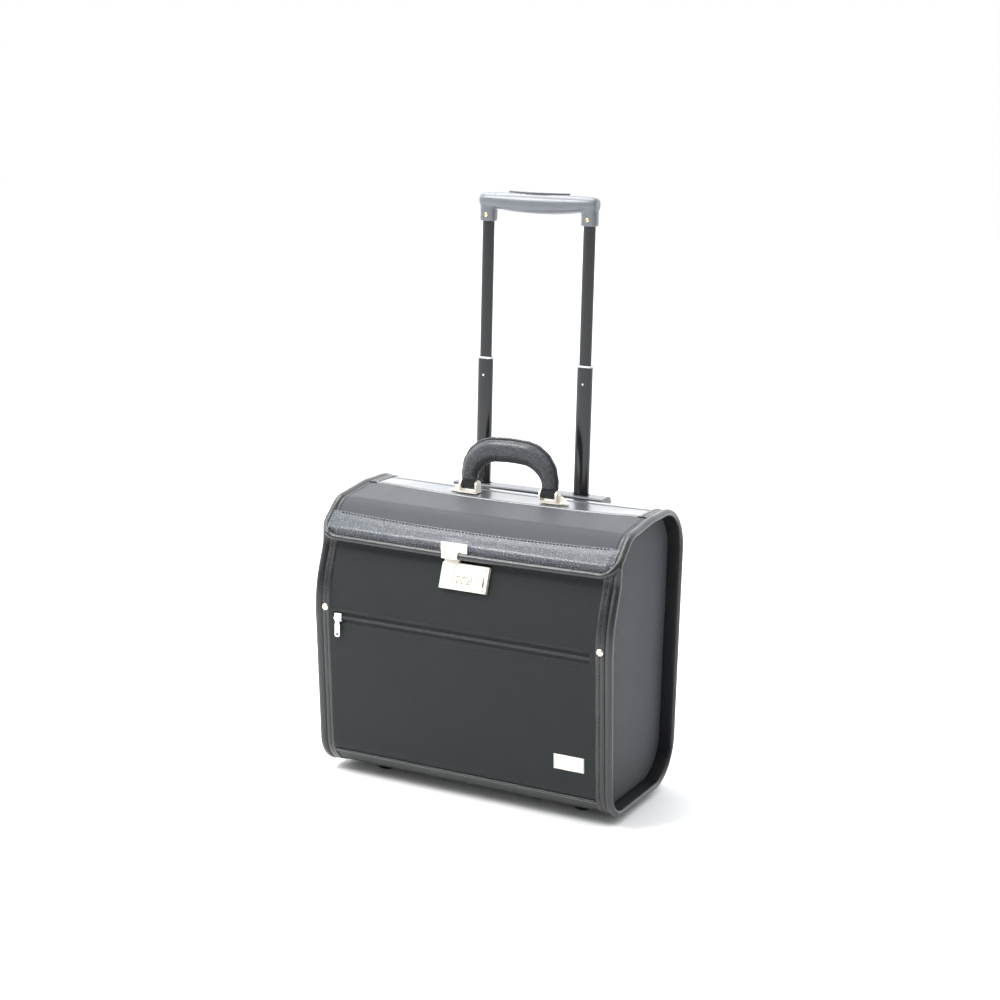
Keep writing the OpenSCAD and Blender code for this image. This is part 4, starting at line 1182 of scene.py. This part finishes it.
# %% Stitches of the lid
def band_line(offset_top=None, offset_hem=None):
    """A stitch line on the band, a fixed distance from its seam or from its hem."""
    line = []
    for k in range(121):
        x = -215 * MM + 430 * MM * k / 120
        if offset_top is not None:
            x *= 205 / 215
            length = seam_dip(x) + offset_top
            share = 0.0
        else:
            length = BAND[2][-1] - corner_rise(x, 25 * MM) - offset_hem
            share = 1.0
        p = band_at(length, 0.15 * MM)
        line.append((x, p.x, p.y - hem_sag(x) * share))
    return line


lid_sides = [round_line(side * 213.5 * MM, 3.0 * MM, front_s(LID_SEAM_Z + 2 * MM),
                        lid_end_s - 3 * MM) for side in (-1, 1)]
stitches("lid_stitches", [band_line(offset_top=3.2 * MM), band_line(offset_hem=7.2 * MM)]
         + lid_sides, "lid", "band_leather", dark_thread)
stitches("lid_crease_stitches", [
    cross_line(strip_x, lambda x: brow_s + 2.5 * MM,
               lambda x, s: SKIN - lid_lift(x, s) - 0.05 * MM)],
    "lid", "top_cloth", dark_thread, 3.6, 2.6, 0.6)

# %% [markdown]
# ## Cloth hinge
# The lid and the top strip are joined underneath by a folded strip of cloth. It crosses the
# joint and is attached to neither body.

# %% Cloth hinge
def hinge_cloth():
    """The strip under the joint, dipped in the middle where it folds."""
    xs = stops(-200 * MM, 200 * MM, 10 * MM)
    ss = stops(lid_end_s - 9 * MM, hinge_s + 9 * MM, 1.5 * MM)

    def fold(x, s):
        """Down with the boards' sag, and a little more at the joint."""
        return -hinge_sag(x) - 1.5 * MM * hump(s - hinge_s, 3 * MM)

    return shell("hinge_cloth", xs, ss, fold, lid_nylon, lid_nylon, inset=9.3 * MM,
                 depth=0.8 * MM)


hinge_piece = hinge_cloth()
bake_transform(hinge_piece)

# %% [markdown]
# ## Carry handle
# Leather is wrapped round a curved core and its two edges are sewn together along the
# outside, which leaves a thin stitched ridge. The section is an oval that is thicker in the
# middle of the grip, swept along the arch, with the ridge on its outer side.

# %% Handle arch
neck_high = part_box("handle_necks")[1]
arch_low, arch_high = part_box("carry_handle")
HANDLE_Y = (arch_low.y + arch_high.y) / 2
LEG_X = neck_high.x - 10.5 * MM
ARCH_MID_R, ARCH_LEG_R, ARCH_BEND = 17 * MM, 12 * MM, 43 * MM
ARCH_TOP = arch_high.z - 0.2 * MM - ARCH_MID_R


def arch_line():
    """Middle line of the arch as (x, z), evenly from the left leg to the right leg."""
    corner_z = ARCH_TOP - ARCH_BEND
    line = [(-LEG_X, neck_high.z - 1 * MM + (corner_z - neck_high.z) * k / 6)
            for k in range(6)]
    line += [(-LEG_X + ARCH_BEND * (1 - math.cos(a)), corner_z + ARCH_BEND * math.sin(a))
             for a in [math.pi / 2 * k / 14 for k in range(15)]]
    reach = LEG_X - ARCH_BEND
    line += [(-reach + 2 * reach * k / 16, ARCH_TOP + 0.9 * MM * math.sin(math.pi * k / 16))
             for k in range(1, 16)]
    return line + [(-x, z) for x, z in line[:21]][::-1]


def arch_piece():
    """The leather wrap: an oval with a stitched ridge, swept along the arch."""
    line = arch_line()
    verts = []
    angles = [math.radians(a) for a in (24, 34, 46, 60, 75, 90, 105, 120, 135, 150, 165, 180)]
    right_half = [(math.cos(a), math.sin(a)) for a in angles]
    for i, (x, z) in enumerate(line):
        before, after = line[max(i - 1, 0)], line[min(i + 1, len(line) - 1)]
        way = Vector((after[0] - before[0], after[1] - before[1])).normalized()
        out = Vector((-way.y, way.x))
        share = smooth((z - neck_high.z) / (ARCH_TOP - neck_high.z))
        h = ARCH_LEG_R + (ARCH_MID_R - ARCH_LEG_R) * share
        d = 9.4 * MM + 0.9 * MM * share
        end = min(i, len(line) - 1 - i)
        if end < 3:
            h *= (0.8, 0.93, 0.99)[end]
            d *= (0.8, 0.93, 0.99)[end]
        h += 0.25 * MM * noise.noise(Vector((x * 60, z * 60, 3.0)))
        teeth = 0.45 * MM * math.sin(i * 2.1)
        ridge = (2.7 * MM + teeth) * smooth(end / 2)
        section = [(h - 1.2 * MM + ridge, 0.0), (h - 1.5 * MM + ridge, 1.2 * MM),
                   (h - 1.4 * MM + ridge * 0.5, 1.7 * MM), (h - 2.0 * MM, 1.9 * MM)]
        section += [(h * c * (1 if c < 0 else 0.96), d * sn) for c, sn in right_half]
        section += [(u, -v) for u, v in section[1:-1]][::-1]
        for u, v in section:
            p = Vector((x, z)) + out * u
            verts.append((p.x, HANDLE_Y + v, p.y))
    faces = flipped(ring_faces(len(line), len(section)))
    return facing_out(piece("handle_leather_wrap", verts, faces, handle_leather, None, 70))


wrap = arch_piece()
wrap.data.shade_smooth()
on_case(wrap, "handle", "handle_leather", "carry_handle")
ridge_lines = []
for v in (-2.1, 2.1):
    line = []
    rows = arch_line()[2:-2]
    for i, (x, z) in enumerate(rows):
        before, after = rows[max(i - 1, 0)], rows[min(i + 1, len(rows) - 1)]
        way = Vector((after[0] - before[0], after[1] - before[1])).normalized()
        share = smooth((z - neck_high.z) / (ARCH_TOP - neck_high.z))
        h = ARCH_LEG_R + (ARCH_MID_R - ARCH_LEG_R) * share - 0.6 * MM
        line.append((x - way.y * h, HANDLE_Y + v * MM, z + way.x * h))
    ridge_lines.append(line)
stitches("handle_stitches", ridge_lines, "handle", "handle_leather", dark_thread, 3.4, 2.2, 1.2)

# %% [markdown]
# ## Hard parts
# Pressed, cast and moulded parts keep their built shapes. Each is copied, its flat faces are
# merged and its edges are rounded by a bevel, or by a fine remesh where one part has many
# joining faces. Turned parts are swept round an axis from a drawn profile.

# %% Rounded copies of built parts
def copied(name, nodes):
    """One mesh object with the merged faces of some built parts."""
    volume = bmesh.new()
    for node in nodes:
        volume.from_mesh(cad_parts[node].data)
    bmesh.ops.remove_doubles(volume, verts=volume.verts, dist=0.005 * MM)
    bmesh.ops.dissolve_limit(volume, angle_limit=math.radians(0.6), verts=volume.verts,
                             edges=volume.edges)
    bmesh.ops.recalc_face_normals(volume, faces=volume.faces)
    mesh = bpy.data.meshes.new(name + "_copy")
    volume.to_mesh(mesh)
    volume.free()
    made = bpy.data.objects.new(name + "_copy", mesh)
    scene.collection.objects.link(made)
    return made


def bevelled(source, width, angle=32, segments=2):
    """Adds a bevel of sharp edges, with normals that keep the flat faces flat."""
    source.data.shade_smooth()
    bevel = source.modifiers.new("edges", "BEVEL")
    bevel.width, bevel.segments = width * MM, segments
    bevel.limit_method, bevel.angle_limit = "ANGLE", math.radians(angle)
    source.modifiers.new("normals", "WEIGHTED_NORMAL").keep_sharp = True
    return source


def softened(name, nodes, material, body, slot, width=0.35, angle=32, segments=2):
    """A copy of built parts with bevelled edges, standing for them."""
    source = bevelled(copied(name, nodes), width, angle, segments)
    return on_case(baked(source, name, material), body, slot, *nodes)


def boxed_uv(made):
    """Gives a flat-sided piece a cloth map in metres, laid on each face from its own side."""
    layer = made.data.uv_layers.new(name="cloth")
    for polygon in made.data.polygons:
        n = [abs(c) for c in polygon.normal]
        first, second = {0: (1, 2), 1: (0, 2), 2: (0, 1)}[n.index(max(n))]
        for loop in polygon.loop_indices:
            co = made.data.vertices[made.data.loops[loop].vertex_index].co
            layer.data[loop].uv = (co[first], co[second])
    return made


def turned(profile, centre, axis, sides=40):
    """Vertices and faces of a profile of (radius, height) turned round an axis."""
    axis = Vector(axis).normalized()
    side = axis.orthogonal().normalized()
    other = axis.cross(side)
    centre = Vector(centre)
    verts = [centre + axis * h + (side * math.cos(a) + other * math.sin(a)) * r
             for r, h in profile for a in [2 * math.pi * k / sides for k in range(sides)]]
    return verts, ring_faces(len(profile), sides)


def group(name, parts, material, smooth_angle=35):
    """One piece from several closed parts, each given as (vertices, faces)."""
    verts, faces = [], []
    for part_verts, part_faces in parts:
        start = len(verts)
        verts += part_verts
        faces += [tuple(start + i for i in face) for face in part_faces]
    return piece(name, verts, faces, material, None, smooth_angle)


# %% Inside boards, bars and hidden metal
for name, node, slot in (("inner_lining_board", "inner_board", "lining_cloth"),
                         ("base_lining_board", "base_board", "lining_cloth")):
    boxed_uv(softened(name, [node], lining, "case", slot, 0.6))
softened("mouth_frame_bar", ["mouth_bar"], steel, "case", "bare_steel", 0.4)
softened("lock_backing", ["lock_back_plate"], steel, "case", "bare_steel", 0.3)
softened("trolley_outer_tubes", ["outer_tubes"], steel, "case", "bare_steel", 0.3)
softened("trolley_foot_block", ["trolley_foot"], black_plastic, "case", "black_plastic", 0.8)
softened("trolley_socket", ["socket_plate"], socket_plastic, "case", "black_plastic", 1.0)

# %% [markdown]
# ## Pocket fittings
# Two snap rivets sit on the sewn tape at the ends of the pocket. The coil zip lies in its
# window on a woven tape, and its slider and tag hang at the left. A blank plate with a
# raised border is fixed low on the right.

# %% Snap rivets
SNAP = [(0.8, 0.0), (4.7, 0.0), (4.9, 0.35), (4.75, 0.7), (4.35, 0.85), (4.2, 1.0),
        (3.6, 1.45), (2.4, 1.8), (1.0, 1.95), (0.2, 1.98)]
snap_z = (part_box("pocket_rivets")[0].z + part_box("pocket_rivets")[1].z) / 2
snaps = []
for side in (-1, 1):
    point, normal = at(front_s(snap_z), 1.7 * MM)
    snaps.append(turned([(r * MM, h * MM) for r, h in SNAP],
                        (side * 212.5 * MM, point.x, point.y), (0, normal.x, normal.y)))
on_case(facing_out(group("snap_rivets", snaps, snap_metal, 50)), "case", "warm_nickel",
        "pocket_rivets")

# %% Zip tape and coil
zip_s = (zip_low_s + zip_high_s) / 2


def tape_lift(x, s):
    """Woven tape: two lips that rise a little towards the coil."""
    return 0.45 * MM + 0.35 * MM * hump(abs(s - zip_s) - 3.1 * MM, 0.8 * MM)


zip_tape_piece = shell(
    "zip_tape_cloth", stops(ZIP_LEFT - 1 * MM, ZIP_RIGHT + 1 * MM, 8 * MM),
    stops(zip_low_s - 1.5 * MM, zip_high_s + 1.5 * MM, 0.8 * MM), tape_lift, zip_tape_weave,
    None, SKIN, 0)
on_case(zip_tape_piece, "case", "zip_cloth", "zip_tape")
coil_tree = beads_tree("zip_coil", {"Length": "Float"}, 1.15 * MM, 1.5 * MM, "Length", False)
coil_lines = []
for step, share in ((-1.15 * MM, 0.0), (1.15 * MM, 0.5)):
    p = at(zip_s + step, SKIN - 1.1 * MM)[0]
    coil_lines.append([(ZIP_LEFT + 1 * MM + share * 1.7 * MM, p.x, p.y),
                       (ZIP_RIGHT - 1 * MM, p.x, p.y)])
coil = grown("zip_coil_teeth", lines_object("coil_lines", coil_lines), coil_tree,
             {"Pitch": 1.7 * MM, "Length": 2.9 * MM, "Material": zip_plastic})
on_case(coil, "case", "zip_plastic", "zip_teeth")
softened("zip_slider_body", ["zip_slider"], zip_metal, "zip_runner", "zip_metal", 0.6, 30, 3)
softened("zip_tag", ["zip_puller"], zip_metal, "zip_tag", "zip_metal", 0.45, 30, 3)

# %% Blank label plate
label_low, label_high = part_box("label_plate")
LABEL_X = (label_low.x + label_high.x) / 2
label_s = front_s((label_low.z + label_high.z) / 2)
HALF_LABEL = (label_high.x - label_low.x) / 2, (label_high.z - label_low.z) / 2
LABEL_RISE = front_lift(LABEL_X, label_s) + 1.0 * MM


def label_lift(x, s):
    """A flat plate with a raised border and rounded-off edges."""
    edge = min(HALF_LABEL[0] - abs(x - LABEL_X), HALF_LABEL[1] - abs(s - label_s))
    border = 0.3 * MM * math.exp(-(((edge - 1.2 * MM) / (0.5 * MM)) ** 4))
    return LABEL_RISE + border - 0.5 * MM * (1 - smooth(edge / (0.6 * MM)))


label_x = [LABEL_X + side * (HALF_LABEL[0] - d * MM) for side in (-1, 1)
           for d in (0, 0.2, 0.4, 0.6, 0.8, 1.2, 1.6, 1.9, 2.4, 8, 15)]
label_s_values = [label_s + side * (HALF_LABEL[1] - d * MM) for side in (-1, 1)
                  for d in (0, 0.2, 0.4, 0.6, 0.8, 1.2, 1.6, 1.9, 2.4, 6)]
label_piece = shell("blank_label", sorted(label_x), sorted(label_s_values), label_lift,
                    label_plastic, None, SKIN, -LABEL_RISE + 1.4 * MM)
on_case(label_piece, "case", "label_plastic", "label_plate")

# %% [markdown]
# ## The lock
# A pressed plate carries three numbered dials in slots, a slide that is pushed left to open
# and a small lever. The lid's T-shaped hasp bends over the hem cord and drops behind the slide.

# %% Lock case, slide and dials
softened("lock_face", ["lock_case"], nickel, "case", "warm_nickel", 0.35, 40)
softened("lock_slide", ["latch_slide"], nickel, "latch", "warm_nickel", 0.5, 25)
softened("lock_rivet_heads", ["lock_rivets"], rivet_metal, "case", "warm_nickel", 0.3)
# The reset lever carries painted shade: its brown copies the shade in its slot.
softened("lock_reset_lever", ["reset_lever"], lever_plastic, "reset", "lever_plastic", 0.3)
softened("dial_spindle", ["dial_axle"], steel, "case", "bare_steel", 0.2)
dial_low, dial_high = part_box("dial_1")
DIAL_AT = Vector(((dial_low.y + dial_high.y) / 2, (dial_low.z + dial_high.z) / 2))
DIAL_R = (dial_high.z - dial_low.z) / 2
DIAL_HALF = (dial_high.x - dial_low.x) / 2
TILT = math.radians(18.66)
OUT = Vector((-math.cos(TILT), math.sin(TILT)))
UP = Vector((math.sin(TILT), math.cos(TILT)))


def dial_ring(middle):
    """A dial with a notched edge on both sides, as a closed ring round its spindle."""
    rows = [(-1.0, 5.4, 0), (-1.0, 6.1, 0), (-0.86, 6.55, 1), (-0.62, 6.75, 1),
            (-0.58, 7.0, 0), (0.58, 7.0, 0), (0.62, 6.75, 1), (0.86, 6.55, 1),
            (1.0, 6.1, 0), (1.0, 5.4, 0), (1.0, 1.45, 0), (-1.0, 1.45, 0)]
    sides, verts = 60, []
    for x, r, notched in rows:
        for k in range(sides):
            a = 2 * math.pi * k / sides
            radius = r - (0.35 if notched and k % 3 == 0 else 0)
            radius *= DIAL_R / 7
            p = DIAL_AT + (OUT * math.cos(a) + UP * math.sin(a)) * radius
            verts.append((middle + x * DIAL_HALF, p.x, p.y))
    return verts, ring_faces(len(rows), sides, looped=True)


def numerals(name, middle, first):
    """Ten numerals round a dial, each bent to its curve."""
    parts = []
    for k in range(10):
        words = bpy.data.curves.new("numeral", "FONT")
        words.body, words.size = str((first + k) % 10), 4.2 * MM
        words.align_x, words.align_y = "CENTER", "CENTER"
        words.extrude, words.resolution_u = 0.07 * MM, 3
        holder = bpy.data.objects.new("numeral", words)
        scene.collection.objects.link(holder)
        flat = baked(holder, "numeral_mesh")
        turn = -2 * math.pi * k / 10
        verts = []
        for v in flat.data.vertices:
            a = turn + v.co.y / DIAL_R
            p = DIAL_AT + (OUT * math.cos(a) + UP * math.sin(a)) * (
                DIAL_R + 0.02 * MM + v.co.z)
            verts.append((middle + v.co.x, p.x, p.y))
        parts.append((verts, [tuple(f.vertices) for f in flat.data.polygons]))
        bpy.data.objects.remove(flat)
    return facing_out(group(name, parts, numeral_paint, 30))


for k, body in enumerate(("dial_a", "dial_b", "dial_c")):
    node = "dial_" + str(k + 1)
    middle = (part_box(node)[0].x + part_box(node)[1].x) / 2
    ring = facing_out(group("number_dial_" + str(k + 1), [dial_ring(middle)], dial_metal))
    on_case(ring, body, "dial_metal", node)
    on_case(numerals("dial_numerals_" + str(k + 1), middle, (3, 1, 8)[k]), body, "dial_metal")

# %% Hasp over the hem cord
hasp_low, hasp_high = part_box("hasp_plate")
HASP_Y = FACE_Y - 1.5 * MM


def sheet_metal(x0, x1, section, thickness):
    """A strip of metal from x0 to x1 that follows (y, z) points, as one closed part."""
    line = [Vector(p) for p in section]
    front, rear = [], []
    for i, p in enumerate(line):
        way = (line[min(i + 1, len(line) - 1)] - line[max(i - 1, 0)]).normalized()
        out = Vector((way.y, -way.x))
        if out.x > 0:
            out = -out
        front.append(p)
        rear.append(p - out * thickness)
    verts = []
    for x in (x0, x1):
        verts += [(x, p.x, p.y) for p in front + rear[::-1]]
    n, m = len(line), 2 * len(line)
    faces = [(i, i + 1, i + 1 + m, i + m) for i in range(m - 1)] + [(m - 1, 0, m, 2 * m - 1)]
    for shift in (0, m):
        for i in range(n - 1):
            faces.append((shift + i, shift + i + 1, shift + m - 2 - i, shift + m - 1 - i))
    return verts, faces


leg_left, leg_right = hasp_low.x + 4.0 * MM, hasp_low.x + 28.0 * MM
plate = sheet_metal(hasp_low.x, hasp_high.x, [
    (HASP_Y - 0.1 * MM, hasp_high.z), (HASP_Y - 0.5 * MM, hasp_high.z - 1 * MM),
    (HASP_Y - 0.5 * MM, hasp_high.z - 12.6 * MM), (HASP_Y - 0.1 * MM, hasp_high.z - 13.4 * MM)],
    1.4 * MM)
leg = sheet_metal(leg_left, leg_right, [
    (HASP_Y - 0.6 * MM, hasp_high.z - 8 * MM), (HASP_Y - 0.8 * MM, HEM_Z + 7.2 * MM),
    (HASP_Y - 3.2 * MM, HEM_Z + 4.6 * MM), (HASP_Y - 5.4 * MM, HEM_Z + 1.8 * MM),
    (HASP_Y - 6.3 * MM, HEM_Z - 1.6 * MM), (HASP_Y - 5.9 * MM, HEM_Z - 5.4 * MM)], 1.2 * MM)
hasp_made = facing_out(group("lid_hasp", [plate, leg], nickel, 30))
on_case(baked(bevelled(hasp_made, 0.35, 30), "lid_hasp", nickel), "lid", "warm_nickel",
        "hasp_plate")
DOME = [(0.2, -0.4), (1.75, -0.4), (1.75, 0.1), (1.5, 0.4), (1.0, 0.6), (0.2, 0.68)]
domes = [turned([(r * MM, h * MM) for r, h in DOME],
                (x, HASP_Y - 0.55 * MM, hasp_high.z - 6.5 * MM), (0, -1, 0), 24)
         for x in (hasp_low.x + 5 * MM, hasp_high.x - 5 * MM)]
on_case(facing_out(group("hasp_rivet_heads", domes, rivet_metal, 50)), "lid", "warm_nickel",
        "hasp_rivets")

# %% [markdown]
# ## Handle fittings, trolley and running gear
# Most pieces here are the designed solids with their edges rounded. The legs, the grip and
# the tyres are made here instead.

# %% Brackets, pins and necks
for side in ("left", "right"):
    softened("handle_bracket_cast_" + side, ["handle_bracket_" + side], nickel, "case",
             "warm_nickel", 0.7, 28, 3)
softened("handle_pin_rods", ["handle_pins"], nickel, "case", "warm_nickel", 0.3)
softened("handle_neck_blocks", ["handle_necks"], black_plastic, "handle", "black_plastic", 0.9)

# %% Trolley
def oval_legs(name, node, wall, body, swell=2.3):
    """Both legs of one stage: drawn tubes with a slightly crowned front and back."""
    low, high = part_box(node)
    y, depth = (low.y + high.y) / 2, (high.y - low.y) / 2
    width, sides = high.x - TROLLEY_X, 48
    parts = []
    for side in (-1, 1):
        verts = []
        for z, share in ((low.z, 1), (high.z, 1), (high.z, 0), (low.z, 0)):
            for k in range(sides):
                a = 2 * math.pi * k / sides
                x = swelled(math.cos(a), swell) * (width - wall * (1 - share))
                d = swelled(math.sin(a), swell) * (depth - wall * (1 - share))
                verts.append((side * TROLLEY_X + x, y + d, z))
        parts.append((verts, ring_faces(4, sides, looped=True)))
    made = facing_out(group(name, parts, tube_metal, 40))
    return on_case(made, body, "black_anodised", node)


oval_legs("trolley_lower_legs", "lower_tubes", 1.2 * MM, "trolley_lower")
oval_legs("trolley_upper_legs", "upper_tubes", 1.2 * MM, "trolley_upper")
softened("leg_collars", ["tube_collars"], collar_plastic, "trolley_lower", "collar_plastic",
         0.4)
softened("leg_stop_pins", ["tube_pins"], collar_plastic, "trolley_lower", "collar_plastic",
         0.2)


def oval_loft(stations, sides=40):
    """A closed body through ovals given as (centre, half side, half height, power)."""
    verts = []
    for centre, across, up, power in stations:
        for k in range(sides):
            a = 2 * math.pi * k / sides
            verts.append(Vector(centre) + across * swelled(math.cos(a), power)
                         + up * swelled(math.sin(a), power))
    return verts, ring_faces(len(stations), sides)


def grip_body():
    """The grip: a bellied bar that runs into two sockets, melted together."""
    low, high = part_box("grip")
    y, half = (low.y + high.y) / 2, high.x
    bar = []
    for k in range(33):
        u = -1 + k / 16
        x = half * math.sin(u * math.pi / 2)
        end = math.sqrt(max(1 - abs(u) ** 7, 0.02))
        belly = (21 + 8 * (1 - min(abs(x) / TROLLEY_X, 1) ** 2)) * MM
        top = high.z - (1 - end) * 9 * MM - 1.2 * MM * (x / half) ** 2
        floor_z = top - belly * (0.35 + 0.65 * end)
        depth = (11.5 + 2.2 * (1 - (x / half) ** 2)) * MM * (0.5 + 0.5 * end)
        bar.append(((x, y, (top + floor_z) / 2), Vector((0, depth, 0)),
                    Vector((0, 0, (top - floor_z) / 2)), 2.3))
    parts = [oval_loft(bar)]
    for side in (-1, 1):
        socket = []
        for z, w, d in ((low.z, 11.4, 8.2), (low.z + 0.8 * MM, 12.0, 8.8),
                        (low.z + 14 * MM, 11.9, 9.0), (low.z + 24 * MM, 11.4, 9.6),
                        (high.z - 12 * MM, 9.5, 9.0), (high.z - 8 * MM, 6.0, 6.0)):
            socket.append(((side * TROLLEY_X, y, z), Vector((w * MM, 0, 0)),
                           Vector((0, d * MM, 0)), 3.4))
        parts.append(oval_loft(socket))
    source = facing_out(group("grip_parts", parts, grip_plastic))
    remesh = source.modifiers.new("melt", "REMESH")
    remesh.mode, remesh.voxel_size = "VOXEL", 0.9 * MM
    soften = source.modifiers.new("soft", "SMOOTH")
    soften.factor, soften.iterations = 0.5, 12
    made = baked(source, "trolley_grip", grip_plastic)
    made.data.shade_smooth()
    return made


on_case(grip_body(), "trolley_upper", "grip_plastic", "grip")
softened("grip_release_button", ["release_button"], button_plastic, "release",
         "button_plastic", 0.8, 30, 3)
screw_low, screw_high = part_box("grip_screws")
screw_z = (screw_low.z + screw_high.z) / 2
RING = [(1.5, -2.6), (3.1, -2.6), (3.1, 0.2), (2.8, 0.55), (2.1, 0.6), (1.55, 0.2)]
PLUG = [(0.2, -1.8), (1.6, -1.8), (1.6, -0.5), (1.0, -0.7), (0.2, -0.75)]
for name, profile, finish_of in (("grip_screw_rings", RING, gold),
                                 ("grip_screw_sockets", PLUG, black_plastic)):
    parts = [turned([(r * MM, h * MM) for r, h in profile],
                    (side * (screw_high.x - 3.2 * MM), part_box("grip")[1].y / 2
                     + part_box("grip")[0].y / 2 - 8.9 * MM, screw_z), (0, -1, 0), 28)
             for side in (-1, 1)]
    made = facing_out(group(name, parts, finish_of, 50))
    if profile is RING:
        on_case(made, "trolley_upper", "gold_metal", "grip_screws")
    else:
        on_case(made, "trolley_upper", "black_plastic")

# %% Wheels, housings and feet
TYRE = [(0.695, -0.40), (0.72, -0.43), (0.90, -0.43), (0.955, -0.40), (0.985, -0.33),
        (0.997, -0.24), (0.997, -0.20), (0.965, -0.18), (0.965, -0.14), (0.999, -0.12),
        (1.0, -0.04), (0.968, -0.02), (0.968, 0.02), (1.0, 0.04), (0.999, 0.12),
        (0.965, 0.14), (0.965, 0.18), (0.997, 0.20), (0.997, 0.24), (0.985, 0.33),
        (0.955, 0.40), (0.90, 0.43), (0.72, 0.43), (0.695, 0.40)]
for side in ("left", "right"):
    low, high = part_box("tyre_" + side)
    radius, middle = (high.z - low.z) / 2, (low + high) / 2
    half = (high.x - low.x) / 2
    rows = [(r * radius, h / 0.43 * half) for r, h in TYRE]
    sides, last = 72, (len(rows) - 1) * 72
    verts, faces = turned(rows, middle, (1, 0, 0), sides)
    faces = faces[:-2] + [(k, (k + 1) % sides, last + (k + 1) % sides, last + k)
                          for k in range(sides)]
    made = facing_out(group("rubber_tyre_" + side, [(verts, faces)], tyre_rubber, 35))
    on_case(made, "wheel_" + side[0], "tyre_rubber", "tyre_" + side)
    softened("wheel_hub_" + side, ["wheel_" + side], wheel_plastic, "wheel_" + side[0],
             "wheel_plastic", 0.5)
    softened("wheel_cover_" + side, ["wheel_housing_" + side], black_plastic, "case",
             "black_plastic", 0.6)
    softened("wheel_axle_" + side, ["axle_" + side], steel, "case", "bare_steel", 0.3)
softened("front_foot_studs", ["front_feet"], black_plastic, "case", "black_plastic", 1.2, 30,
         3)
softened("foot_stud_screws", ["foot_screws"], steel, "case", "bare_steel", 0.3)

# %% End of the scene
print("scene built")
